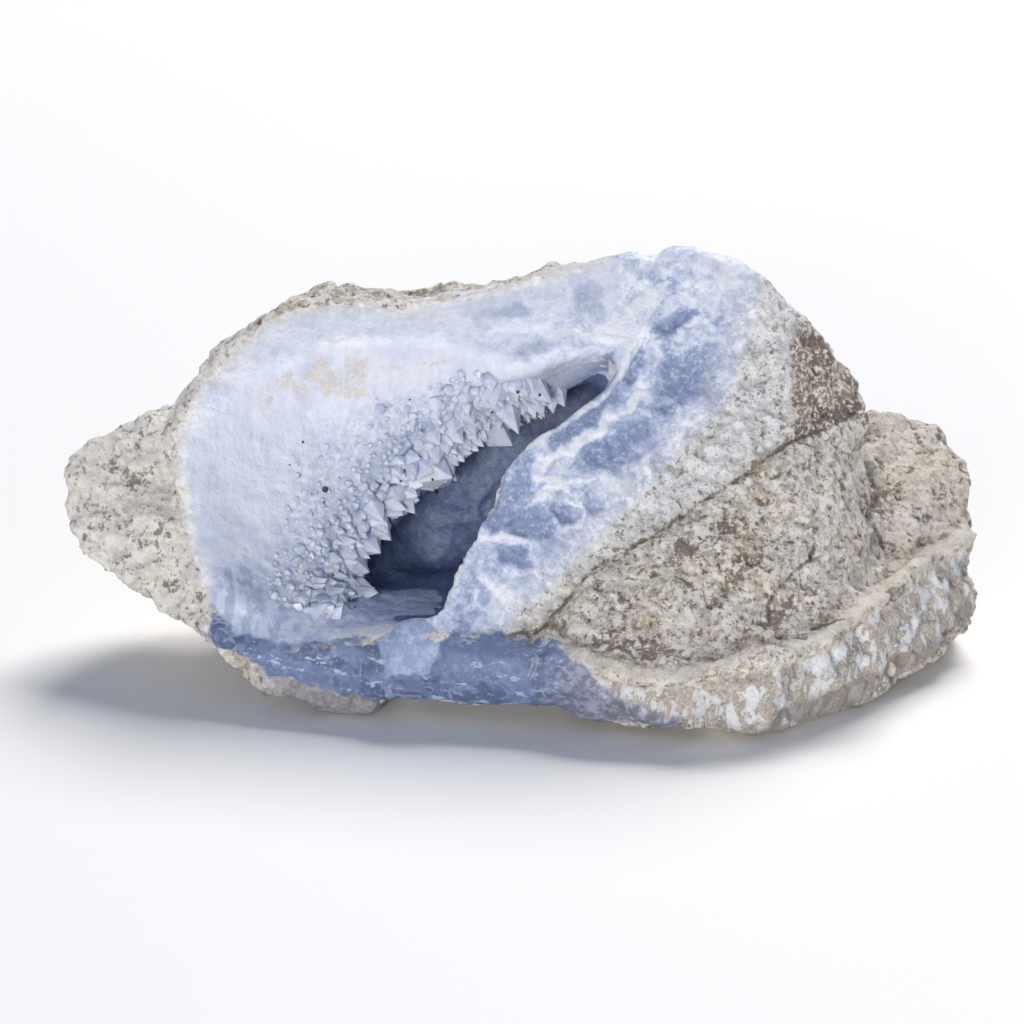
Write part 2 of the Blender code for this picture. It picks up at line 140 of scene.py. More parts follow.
MOUTH = [
    (-22.0, -17.0), (-18.0, -7.0), (-14.0, 1.0), (-8.0, 8.0), (-1.0, 13.0), (6.0, 16.0), (14.0, 17.5),
    (10.0, 13.0), (1.0, 8.0), (-5.0, 0.0), (-8.0, -9.0), (-11.5, -17.0),
]
# Ochre stains of the porcelain rim: middle, half width, half height
STAINS = [
    ((-25.4, 18.6), 1.5, 1.9), ((-29.4, 17.0), 1.7, 1.3), ((-27.4, 15.8), 1.0, 1.3),
    ((-23.4, 16.9), 2.2, 1.7), ((-20.0, 18.6), 1.6, 2.2), ((-31.4, 14.8), 0.7, 0.9),
    ((-21.0, 15.8), 2.6, 0.8),
]
STAIN_STREAK = [(-19.5, 18.2), (-14.0, 18.9), (-8.6, 19.9)]
# Dark blue pools of the blue face: middle, half length, half width, lean in degrees
POOLS = [
    ((14.7, 8.6), 5.4, 2.3, 22.0), ((8.8, 11.8), 5.6, 1.0, 38.0), ((24.2, 10.3), 1.7, 1.3, -15.0),
    ((20.1, 13.4), 0.9, 0.8, 0.0), ((23.4, 18.0), 4.4, 2.8, 25.0), ((15.9, 19.2), 2.6, 1.0, 65.0),
    ((0.0, -0.2), 4.0, 0.9, 38.0), ((2.7, -1.4), 2.8, 1.8, 10.0), ((-0.8, 2.2), 4.6, 1.9, 50.0),
    ((7.2, -0.3), 1.5, 1.3, 30.0), ((10.6, 0.9), 1.3, 1.0, 0.0), ((0.8, -5.6), 2.1, 1.5, -40.0),
    ((19.5, 7.0), 2.4, 1.4, 60.0), ((28.0, 15.0), 2.4, 2.6, 70.0), ((9.8, 27.0), 1.8, 2.4, -20.0),
    ((21.6, 25.0), 3.0, 1.0, 35.0), ((3.0, 21.2), 3.4, 0.9, 10.0), ((-1.0, 26.0), 3.4, 0.8, 8.0),
]
# White veins and spurs: their lines, and their half widths at the start and the end
VEINS = [
    ([(4.3, 7.6), (7.5, 8.1), (10.6, 10.2), (13.8, 12.7), (16.6, 15.2)], 1.1, 0.5),
    ([(4.6, 9.0), (4.0, 6.5), (3.6, 4.6)], 1.3, 0.9),
    ([(15.1, 9.5), (17.4, 7.0), (18.2, 4.0), (19.0, 1.0)], 0.25, 1.4),
    ([(3.6, 4.6), (6.0, 3.9), (10.5, 4.2)], 0.5, 0.3),
    ([(13.6, 23.0), (16.6, 27.0), (20.6, 29.6)], 1.3, 0.4),
    ([(13.4, 23.2), (10.4, 24.4), (8.3, 26.4), (7.4, 29.2)], 1.0, 0.5),
    ([(13.0, 22.9), (8.0, 23.3), (3.0, 24.0), (-4.2, 23.7)], 0.9, 0.3),
    ([(16.4, 24.4), (15.0, 21.4), (13.8, 17.4)], 1.2, 0.15),
    ([(16.8, 26.0), (17.6, 22.6), (16.4, 18.4)], 0.4, 0.15),
    ([(-5.6, -2.6), (-2.4, -3.2), (1.2, -4.0), (2.8, -6.4), (3.0, -8.4)], 1.1, 0.4),
    ([(5.6, -1.2), (6.6, -2.3), (8.6, -1.6), (9.2, 0.4), (8.0, 1.6)], 0.4, 0.25),
    ([(1.8, 1.0), (4.6, 2.0), (6.0, 3.4)], 0.5, 0.8),
    ([(-4.0, -8.0), (-1.0, -10.5), (1.0, -12.0)], 0.9, 0.9),
    ([(12.0, 5.0), (14.0, 3.2), (16.5, 1.8)], 1.0, 1.2),
]
# The druse: where its points stand, and the edge over which they hang into the hollow
DRUSE_AREA = [
    (-32.5, -13.0), (-33.0, -6.2), (-30.8, 1.6), (-27.6, 8.1), (-22.4, 13.3), (-15.9, 16.1), (-8.1, 17.7),
    (-2.9, 17.2), (-0.5, 15.6), (2.6, 14.0), (-1.6, 11.3), (-5.5, 8.7), (-8.1, 6.1), (-10.0, 2.2),
    (-12.0, 0.9), (-13.9, -1.7), (-17.2, -6.2), (-18.2, -10.4), (-20.8, -14.3), (-23.0, -17.3),
    (-27.6, -14.7),
]
DRUSE_EDGE = [
    (-23.7, -16.6), (-21.7, -11.4), (-18.2, -10.1), (-17.2, -6.2), (-13.9, -1.7), (-12.0, 0.9),
    (-10.0, 2.2), (-8.1, 6.1), (-5.5, 8.7), (-1.6, 11.3), (2.6, 13.6),
]
# How the points by that edge lean
OVERHANG = np.array((0.5, -0.3, -0.45))
# The fractured blue foot of the rim, the floor of the hollow and the smooth chip of its roof
LEFT_BLUE = [
    (-40.6, -10.1), (-38.6, -6.2), (-36.0, -4.3), (-31.5, -6.2), (-29.5, -11.4), (-23.7, -16.6),
    (-17.2, -17.9), (-16.5, -25.2), (-27.6, -25.2), (-35.4, -23.4), (-39.9, -16.6),
]
HOLLOW_FLOOR = [
    (-21.7, -11.4), (-16.5, -9.9), (-9.4, -10.4), (-8.7, -13.0), (-10.4, -16.1), (-16.5, -17.3),
    (-22.4, -17.3), (-24.3, -14.7),
]
ROOF_CHIP = [
    (-5.5, 13.9), (-2.9, 16.5), (1.0, 17.4), (6.2, 18.6), (10.6, 19.8), (13.2, 21.4), (13.6, 16.5),
    (11.4, 14.8), (6.2, 13.5), (1.0, 13.3),
]
# The middle line of the hollow, in the marks' millimetres of space
HOLLOW_AXIS = np.array(((-14.0, 0.0, 16.0), (10.0, 3.0, 36.0)))
# Dark weathered places of the matrix: middle, half length, half width, lean in degrees
DIRT = [
    ((34.8, -13.4), 3.0, 1.6, 20.0), ((47.4, 1.6), 2.4, 2.2, 0.0), ((30.0, -8.0), 5.0, 0.8, 50.0),
    ((24.0, -4.0), 6.0, 1.0, 35.0), ((42.0, 12.6), 5.0, 1.1, 30.0), ((17.0, -17.6), 6.0, 1.0, -8.0),
    ((39.6, 21.0), 2.6, 1.6, -50.0), ((45.4, 15.4), 2.4, 1.4, -45.0), ((-50.0, 5.0), 2.4, 1.2, -30.0),
]
# Dark mineral specks of the open face, across and up, and their half sizes
SPECKS = [
    ((-24.3, 2.9), 0.42), ((-9.8, 2.6), 0.3), ((-16.9, -3.9), 0.26), ((0.7, 15.6), 0.22),
    ((3.6, 15.2), 0.2), ((-2.6, 13.0), 0.2), ((-27.2, 9.1), 0.17), ((-28.9, 6.1), 0.12),
    ((-13.3, 14.6), 0.14), ((-23.3, -8.2), 0.2), ((-20.4, -12.4), 0.16), ((-24.5, 1.3), 0.13),
    ((-10.3, 4.2), 0.17), ((-14.4, 4.0), 0.14),
]


# Settings that a user would change
class StoneSettings(bpy.types.PropertyGroup):
    """Sizes and colours of the broken stone."""

    voxel: bpy.props.FloatProperty(
        name="Surface grid", description="Spacing of the surface points", default=0.85 * MM, unit="LENGTH"
    )
    matrix_relief: bpy.props.FloatProperty(
        name="Matrix relief", description="Height of its chips and pits", default=1.1 * MM, unit="LENGTH"
    )
    shell_relief: bpy.props.FloatProperty(
        name="Shell relief", description="Depth of the blue face's shells", default=0.9 * MM, unit="LENGTH"
    )
    # White also paints the highlight along the ridge of the blue face
    white: bpy.props.FloatVectorProperty(
        name="White", description="Veins and broken edges", subtype="COLOR", default=(0.86, 0.87, 0.91)
    )
    porcelain: bpy.props.FloatVectorProperty(
        name="Porcelain", description="White of the rim", subtype="COLOR", default=(0.78, 0.80, 0.87)
    )
    pale_blue: bpy.props.FloatVectorProperty(
        name="Pale blue", description="Milky blue chalcedony", subtype="COLOR", default=(0.45, 0.52, 0.70)
    )
    deep_blue: bpy.props.FloatVectorProperty(
        name="Deep blue", description="Pools and sill", subtype="COLOR", default=(0.17, 0.225, 0.39)
    )
    beige: bpy.props.FloatVectorProperty(
        name="Beige", description="Light grains of the rock", subtype="COLOR", default=(0.82, 0.71, 0.575)
    )
    # Brown also paints the shade in the cracks and under the quartz band
    brown: bpy.props.FloatVectorProperty(
        name="Brown", description="Dark grains and pits", subtype="COLOR", default=(0.20, 0.14, 0.105)
    )
    cream: bpy.props.FloatVectorProperty(
        name="Cream", description="Lightest grains", subtype="COLOR", default=(0.98, 0.93, 0.85)
    )
    ochre: bpy.props.FloatVectorProperty(
        name="Ochre", description="Iron stain", subtype="COLOR", default=(0.62, 0.49, 0.33)
    )


class CrystalSettings(bpy.types.PropertyGroup):
    """Sizes and colour of the quartz points and the specks."""

    spacing: bpy.props.FloatProperty(
        name="Spacing", description="Distance between quartz points", default=0.95 * MM, unit="LENGTH"
    )
    radius: bpy.props.FloatProperty(
        name="Radius", description="Largest radius of a quartz point", default=1.35 * MM, unit="LENGTH"
    )
    milky: bpy.props.FloatVectorProperty(
        name="Milky quartz", description="Colour of the points", subtype="COLOR", default=(0.64, 0.685, 0.82)
    )
    speck: bpy.props.FloatVectorProperty(
        name="Speck", description="Colour of the dark specks", subtype="COLOR", default=(0.05, 0.035, 0.03)
    )


class StageSettings(bpy.types.PropertyGroup):
    """The floor and the light."""

    floor: bpy.props.FloatVectorProperty(
        name="Floor", description="Colour of the floor", subtype="COLOR", default=(0.955, 0.93, 0.90)
    )
    key: bpy.props.FloatProperty(name="Key", description="Overhead light", default=57.0, unit="POWER")
    front: bpy.props.FloatProperty(name="Front", description="Low front light", default=7.4, unit="POWER")
    fill: bpy.props.FloatProperty(name="Fill", description="Strength of the light all round", default=0.29)
    sky: bpy.props.FloatVectorProperty(
        name="Sky", description="Colour of the light all round", subtype="COLOR", default=(0.52, 0.68, 1.0)
    )


# Arithmetic on whole arrays of points
def ramp(value, start, end):
    """0 before start and 1 after end, eased between."""
    t = np.clip((value - start) / (end - start), 0.0, 1.0)
    return t * t * (3.0 - 2.0 * t)


def hashed(cells, seed):
    """A number in 0..1 for each whole-number cell: the corners times large primes, with their bits mixed."""
    h = cells[..., 0] * 374761393 + cells[..., 1] * 668265263 + cells[..., 2] * 1440662683 + seed * 974711
    h = h & 0xFFFFFFFF
    h = ((h ^ (h >> 13)) * 1274126177) & 0xFFFFFFFF
    h = ((h ^ (h >> 15)) * 2246822519) & 0xFFFFFFFF
    return ((h ^ (h >> 16)) & 0xFFFFFF) / float(0xFFFFFF)


def gradient_noise(points, seed):
    """Smooth noise in about -1..1: each lattice corner has a random slope, and the slopes are faded into
    each other."""
    base = np.floor(points).astype(np.int64)
    part = points - base
    fade = part**3 * (part * (part * 6.0 - 15.0) + 10.0)
    total = np.zeros(len(points))
    for corner in np.ndindex(2, 2, 2):
        cell = base + corner
        slope = np.stack([hashed(cell, seed + k) * 2.0 - 1.0 for k in (0, 17, 41)], axis=1)
        weight = np.prod(np.where(corner, fade, 1.0 - fade), axis=1)
        total += weight * np.einsum("ij,ij->i", slope, part - corner)
    return total * 1.5


def fractal(points, size, octaves, seed):
    """Noise of that size in millimetres, and halves of it: each octave has half the height of the one
    before."""
    total = np.zeros(len(points))
    for k in range(octaves):
        total += gradient_noise(points / size * 2.0**k + 19.7 * k, seed + 101 * k) * 0.5**k
    return total


def cells(points, seed):
    """Distance to the nearest and the second nearest scattered centre, the nearest one's number and the
    way to it."""
    base = np.floor(points).astype(np.int64)
    first = np.full(len(points), 9.0)
    second = np.full(len(points), 9.0)
    number = np.zeros(len(points))
    way = np.zeros_like(points)
    for offset in np.ndindex(3, 3, 3):
        cell = base + offset - 1
        centre = cell + np.stack([hashed(cell, seed + k) for k in (3, 29, 53)], axis=1)
        away = points - centre
        gap = np.sqrt(np.einsum("ij,ij->i", away, away))
        nearer = gap < first
        second = np.where(nearer, first, np.minimum(second, gap))
        first = np.where(nearer, gap, first)
        number = np.where(nearer, hashed(cell, seed + 71), number)
        way = np.where(nearer[:, None], away, way)
    return first, second, number, way


def front(points):
    """Across, up and distance of each point in the front view: a line to the view's eye meets the upright
    plane through its aim there."""
    from_aim = points - FRONT_AIM
    distance = FRONT_DISTANCE + from_aim @ FRONT_AWAY
    flat = np.stack([from_aim[:, 0], from_aim @ FRONT_UP], axis=1)
    return flat * (FRONT_DISTANCE / distance)[:, None], distance


def to_line(flat, line):
    """How far each flat point lies from a line of corners, positive on the left of its direction, and the
    share of the line passed there."""
    corners = np.array(line)
    start = corners[:-1]
    along = corners[1:] - start
    to_start = flat[:, None] - start[None]
    share = np.clip((to_start * along).sum(-1) / (along**2).sum(-1), 0.0, 1.0)
    off = to_start - share[..., None] * along
    gap = np.hypot(off[..., 0], off[..., 1])
    nearest = gap.argmin(axis=1)
    rows = np.arange(len(flat))
    side = along[nearest, 0] * to_start[rows, nearest, 1] - along[nearest, 1] * to_start[rows, nearest, 0]
    passed = (nearest + share[rows, nearest]) / len(along)
    return gap[rows, nearest] * np.where(side > 0.0, 1.0, -1.0), passed


def depth_in(flat, outline):
    """How far each flat point lies inside a closed outline, negative outside it."""
    closed = outline + outline[:1]
    gap = np.abs(to_line(flat, closed)[0])
    inside = np.zeros(len(flat), bool)
    for (x0, y0), (x1, y1) in zip(closed[:-1], closed[1:]):
        if y0 == y1:
            continue
        crosses = (y0 > flat[:, 1]) != (y1 > flat[:, 1])
        inside ^= crosses & (flat[:, 0] < x0 + (flat[:, 1] - y0) / (y1 - y0) * (x1 - x0))
    return np.where(inside, gap, -gap)


def ovals(flat, shapes):
    """1 in the middle of leaning ovals and 0 at their edges, the highest where they overlap."""
    best = np.zeros(len(flat))
    for (across, up), half_length, half_width, lean in shapes:
        c = math.cos(math.radians(lean))
        s = math.sin(math.radians(lean))
        x = flat[:, 0] - across
        z = flat[:, 1] - up
        r2 = ((x * c + z * s) / half_length) ** 2 + ((z * c - x * s) / half_width) ** 2
        best = np.maximum(best, np.clip(1.0 - r2 / 2.0, 0.0, 1.0))
    return best


def nearest_layer(flat, distance, square, reach):
    """1 on the surface that the front view sees first: the least distance in each small square of the
    view, and what lies within reach behind it."""
    cell = np.floor(flat / square).astype(np.int64)
    cell -= cell.min(axis=0)
    index = cell[:, 0] * (cell[:, 1].max() + 1) + cell[:, 1]
    least = np.full(index.max() + 1, 1e9)
    np.minimum.at(least, index, distance)
    return 1.0 - ramp(distance - least[index], reach, 2.0 * reach)


# Places on the stone
def past_face(p):
    """How far a place lies behind the plane of the blue face, in millimetres."""
    return p[:, 1] - (FACE_LEAN * p[:, 2] + FACE_FOOT)


def lining(p, normal):
    """1 on the hollow's own walls: places near its middle line that face it."""
    start, end = HOLLOW_AXIS
    along = end - start
    share = np.clip((p - start) @ along / (along @ along), 0.0, 1.0)
    inward = start + share[:, None] * along - p
    gap = np.linalg.norm(inward, axis=1)
    facing = np.einsum("ij,ij->i", normal, inward) / np.maximum(gap, 0.01)
    return ramp(facing, 0.0, 0.25) * ramp(gap, 24.0, 20.0) * ramp(p[:, 1], 20.0, 16.0)


def matrix_depth(p):
    """How deep a place, in millimetres, lies in the rough matrix, negative on the chalcedony."""
    x, y, z = p.T
    left = -0.33 * (z - 3.0) - 33.0 - x
    behind_face = np.minimum(past_face(p) - 6.5, x - 9.0)
    behind_rim = np.minimum(np.minimum(past_face(p) - 5.2, 14.0 - x), y + 1.0)
    below_crack = np.minimum(11.5 + 0.47 * x - z, x - 8.0)
    back = np.minimum(y - 9.0, np.hypot(x - 2.0, z - 24.0) - 20.0)
    under = 2.0 - z
    return np.maximum.reduce([left, behind_face, behind_rim, below_crack, back, under])


def marks_of(p, normal):
    """The marks of every place on the stone, as a dict of arrays in millimetres or shares of 1."""
    flat, distance = front(p)
    seen = nearest_layer(flat, distance, SEEN_SQUARE, SEEN_REACH)
    shown = seen * ramp(-(normal @ FRONT_AWAY), -0.1, 0.15)
    hidden = -40.0 * (1.0 - shown)
    wander = 0.7 * fractal(p, 3.5, 3, 5)
    bent = flat + np.stack([fractal(p, 3.2, 3, 131), fractal(p, 3.2, 3, 137)], axis=1) * 0.9
    matrix = matrix_depth(p)
    open_face = depth_in(flat, OPEN_FACE)
    blue_face = depth_in(flat, BLUE_FACE)
    sill = depth_in(bent, SILL)
    clear = np.maximum(np.maximum(open_face, blue_face), sill)
    in_front = np.where(shown > 0.5, -clear, matrix)
    behind = past_face(p)
    mouth = depth_in(flat, MOUTH)
    before_back = ramp(p[:, 1], 20.0, 14.0)
    hollow = ramp(mouth, -9.0, -3.0) * ramp(behind, 4.0, 10.0)
    floor = ramp(depth_in(bent, HOLLOW_FLOOR), -0.6, 0.8) * ramp(behind, 0.5, 2.0)
    edge = to_line(flat, DRUSE_EDGE)[0]
    past_edge = ramp(-edge, -0.6, 0.4) * ramp(behind, 2.0, 4.0) * ramp(mouth, -4.0, -1.0)
    hollow = (np.maximum(hollow, past_edge) * (1.0 - floor) + 0.8 * floor) * before_back
    hollow = np.maximum(hollow, lining(p, normal) * ramp(behind, 0.5, 2.0) * (1.0 - shown))
    matrix = np.where(hollow > 0.4, -4.0, in_front)
    crack = to_line(flat, CRACK)[0]
    small = np.minimum.reduce([np.abs(to_line(flat, line)[0]) for line in SMALL_CRACKS])
    ledge = to_line(flat, LEDGE)[0]
    band_foot = to_line(flat, BAND_FOOT)[0]
    vein = np.full(len(flat), -1.0)
    for line, first, last in VEINS:
        gap, share = to_line(bent, line)
        vein = np.maximum(vein, 1.0 - np.abs(gap) / (first + (last - first) * share))
    stain = np.maximum(
        ovals(bent, [(middle, a, b, 0.0) for middle, a, b in STAINS]),
        0.75 * np.clip(1.0 - np.abs(to_line(bent, STAIN_STREAK)[0]) / 0.9, 0.0, 1.0),
    )
    return {
        "matrix": np.clip(matrix + wander, -6.0, 6.0),
        "open_face": np.clip(open_face + hidden, -9.0, 30.0),
        "blue_face": np.clip(blue_face + hidden, -9.0, 9.0),
        "sill": np.clip(sill + hidden, -6.0, 6.0),
        "block": np.clip(depth_in(0.5 * (flat + bent), WHITE_BLOCK) + hidden, -3.0, 3.0),
        "arc": np.clip(to_line(flat, ARC)[0], -12.0, 12.0),
        "ridge": np.where(shown > 0.5, np.clip(-to_line(flat, RIDGE)[0], -9.0, 9.0), 9.0),
        "crack": np.where(shown > 0.5, np.clip(np.minimum(np.abs(crack), small), 0.0, 6.0), 6.0),
        "above_crack": np.clip(crack, -12.0, 12.0),
        "ledge": np.where((shown > 0.3) & (flat[:, 0] > 2.0), np.clip(-ledge, -9.0, 12.0), -9.0),
        "band": np.where((shown > 0.3) & (flat[:, 0] > 12.0), np.clip(band_foot, -6.0, 12.0), 6.0),
        "seam": np.where(shown > 0.3, np.clip(np.abs(to_line(flat, SEAM)[0]), 0.0, 6.0), 6.0),
        "patina": np.clip(depth_in(flat, PATINA) + hidden, -4.0, 4.0),
        "pool": ovals(bent, POOLS) * shown,
        "left_blue": np.clip(depth_in(bent, LEFT_BLUE) + hidden, -5.0, 5.0),
        "druse": np.clip(depth_in(bent, DRUSE_AREA) + hidden, -6.0, 8.0),
        "chip": np.clip(depth_in(bent, ROOF_CHIP) + hidden, -3.0, 3.0),
        "dirt": ovals(bent, DIRT) * shown,
        "vein": np.clip(vein, -1.0, 1.0) * shown,
        "stain": stain * shown,
        "hollow": hollow,
        "low": 1.0 - ramp(p[:, 2], 2.0, 14.0),
    }


def stone_relief(p, marks, matrix_height, shell_height):
    """Height of the broken surface in millimetres: chipped cells, pits and grains on the matrix, hollow
    shells with raised edges on the blue face, faint shells elsewhere, and the cracks, the ledge and the
    seam. It adds the shells' edges to the marks."""
    rough = ramp(marks["matrix"], -0.6, 0.6)
    broad = fractal(p, 9.0, 4, 11)
    fine = fractal(p, 2.4, 3, 23)
    _, _, number, way = cells(p / 3.6 + 0.25 * broad[:, None], 31)
    chips = way[:, 0] * (number - 0.5) + way[:, 2] * (0.5 - np.abs(number - 0.5) * 2.0)
    pit_near, _, pit_number, _ = cells(p / 1.9, 47)
    pits = (1.0 - ramp(pit_near, 0.12, 0.42)) * (pit_number > 0.62)
    matrix = matrix_height * (0.75 * broad + 0.45 * fine + 0.9 * chips - 0.75 * pits)
    lean = math.radians(38.0)
    turned = np.stack(
        [
            (p[:, 0] * math.cos(lean) + p[:, 2] * math.sin(lean)) / 8.0,
            p[:, 1] / 6.0,
            (p[:, 2] * math.cos(lean) - p[:, 0] * math.sin(lean)) / 4.2,
        ],
        axis=1,
    )
    shell_near, shell_next, _, _ = cells(turned + 0.12 * fine[:, None], 59)
    marks["shell_edge"] = shell_next - shell_near
    shells = shell_height * (1.2 * shell_near**2 - 0.4 * (1.0 - ramp(marks["shell_edge"], 0.0, 0.18)))
    on_blue = ramp(marks["blue_face"], -1.0, 1.0)
    faint = 0.22 * fractal(p, 6.0, 3, 67) + 0.07 * fine
    pools = 0.55 * ramp(marks["pool"], 0.35, 0.75)
    clear = faint + on_blue * (shells - pools + 0.18 * np.maximum(marks["vein"], 0.0))
    clear = clear + ramp(marks["sill"], -0.5, 0.8) * 0.5 * shells
    height = rough * matrix + (1.0 - rough) * clear
    broken = ramp(fine, -0.35, 0.35)
    height -= 0.5 * (1.0 - ramp(marks["crack"], 0.1, 0.5)) * ramp(rough, 0.2, 0.8) * (0.15 + 0.85 * broken)
    height -= 0.7 * marks["dirt"] * rough * (0.4 + 0.6 * broken)
    ledge = marks["ledge"]
    height += 0.9 * np.exp(-((ledge / 0.7) ** 2)) - 0.8 * ramp(ledge, 0.5, 2.0) * rough * (ledge > -8.0)
    height -= 0.5 * np.exp(-(((ledge + 2.2) / 0.8) ** 2)) * rough
    lumps = cells(p / 4.2 + 0.2 * fine[:, None], 71)[0]
    height += 0.8 * (0.5 - lumps) * ramp(ledge, 0.5, 2.5)
    height -= 0.7 * np.exp(-((marks["seam"] / 0.6) ** 2)) * rough
    druse = ramp(marks["druse"], -2.0, 1.0)
    height += druse * (0.35 * (0.5 - cells(p / 1.3, 89)[0]))
    return height * ramp(p[:, 2], 0.2, 2.5)


# Meshes
def merged_copy(node):
    """A copy of a CAD node's mesh with its loose triangles merged."""
    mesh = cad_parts[node].data.copy()
    shape = bmesh.new()
    shape.from_mesh(mesh)
    bmesh.ops.remove_doubles(shape, verts=shape.verts, dist=0.001 * MM)
    shape.to_mesh(mesh)
    shape.free()
    return mesh


def points_of(mesh):
    """The mesh's points as an array, in the frame's metres."""
    co = np.empty(len(mesh.vertices) * 3)
    mesh.vertices.foreach_get("co", co)
    return co.reshape(-1, 3)


def normals_of(mesh):
    """The mesh's point normals as an array."""
    out = np.empty(len(mesh.vertices) * 3)
    mesh.vertex_normals.foreach_get("vector", out)
    return out.reshape(-1, 3)


def values_of(mesh, name):
    """One of the mesh's number attributes as an array."""
    out = np.empty(len(mesh.vertices))
    mesh.attributes[name].data.foreach_get("value", out)
    return out


def in_marks(co):
    """Frame metres to the millimetres of the marks."""
    return co / MM + MARK_ORIGIN


def triangles_of(mesh):
    """The mesh's triangles as an array of point numbers."""
    mesh.calc_loop_triangles()
    corners = np.empty(len(mesh.loop_triangles) * 3, np.int32)
    mesh.loop_triangles.foreach_get("vertices", corners)
    return corners.reshape(-1, 3)


def tree_of(mesh):
    """A search tree of the mesh's triangles."""
    return BVHTree.FromPolygons(points_of(mesh).tolist(), triangles_of(mesh).tolist())


def regridded(mesh, voxel, smoothing):
    """The mesh laid out again on an even grid of that spacing and smoothed a little."""
    holder = bpy.data.objects.new("regrid", mesh)
    bpy.context.scene.collection.objects.link(holder)
    even = holder.modifiers.new("Even grid", "REMESH")
    even.mode = "VOXEL"
    even.voxel_size = voxel
    soften = holder.modifiers.new("Soften", "SMOOTH")
    soften.factor = 0.5
    soften.iterations = smoothing
    bpy.context.view_layer.update()
    evaluated = holder.evaluated_get(bpy.context.evaluated_depsgraph_get())
    result = bpy.data.meshes.new_from_object(evaluated)
    bpy.data.objects.remove(holder)
    return result


def refine(mesh, wanted):
    """Splits every edge between wanted points of the mesh once, and makes all its faces triangles."""
    shape = bmesh.new()
    shape.from_mesh(mesh)
    shape.verts.ensure_lookup_table()
    edges = [e for e in shape.edges if wanted[e.verts[0].index] and wanted[e.verts[1].index]]
    bmesh.ops.subdivide_edges(shape, edges=edges, cuts=1, use_grid_fill=True)
    bmesh.ops.triangulate(shape, faces=shape.faces)
    shape.to_mesh(mesh)
    shape.free()


def add_piece(name, mesh, material, node):
    """Adds a finished piece: its material, its ride on the body and the node it stands for."""
    piece = bpy.data.objects.new(name, mesh)
    bpy.context.scene.collection.objects.link(piece)
    mesh.materials.clear()
    mesh.materials.append(material)
    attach(piece, "root")
    if node:
        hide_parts(node)


# Shader arithmetic
class Wire:
    """A shader number or colour on which sums add Math nodes."""

    def __init__(self, finish, socket):
        self.finish = finish
        self.socket = socket

    def math(self, operation, *values):
        """The Math node of that operation on these values."""
        return self.finish.node("ShaderNodeMath", {"operation": operation}, dict(enumerate(values)))

    def __add__(self, other):
        return self.math("ADD", self, other)

    __radd__ = __add__

    def __mul__(self, other):
        return self.math("MULTIPLY", self, other)

    __rmul__ = __mul__

    def __sub__(self, other):
        return self.math("SUBTRACT", self, other)

    def __rsub__(self, other):
        return self.math("SUBTRACT", other, self)

    def __abs__(self):
        return self.math("ABSOLUTE", self)


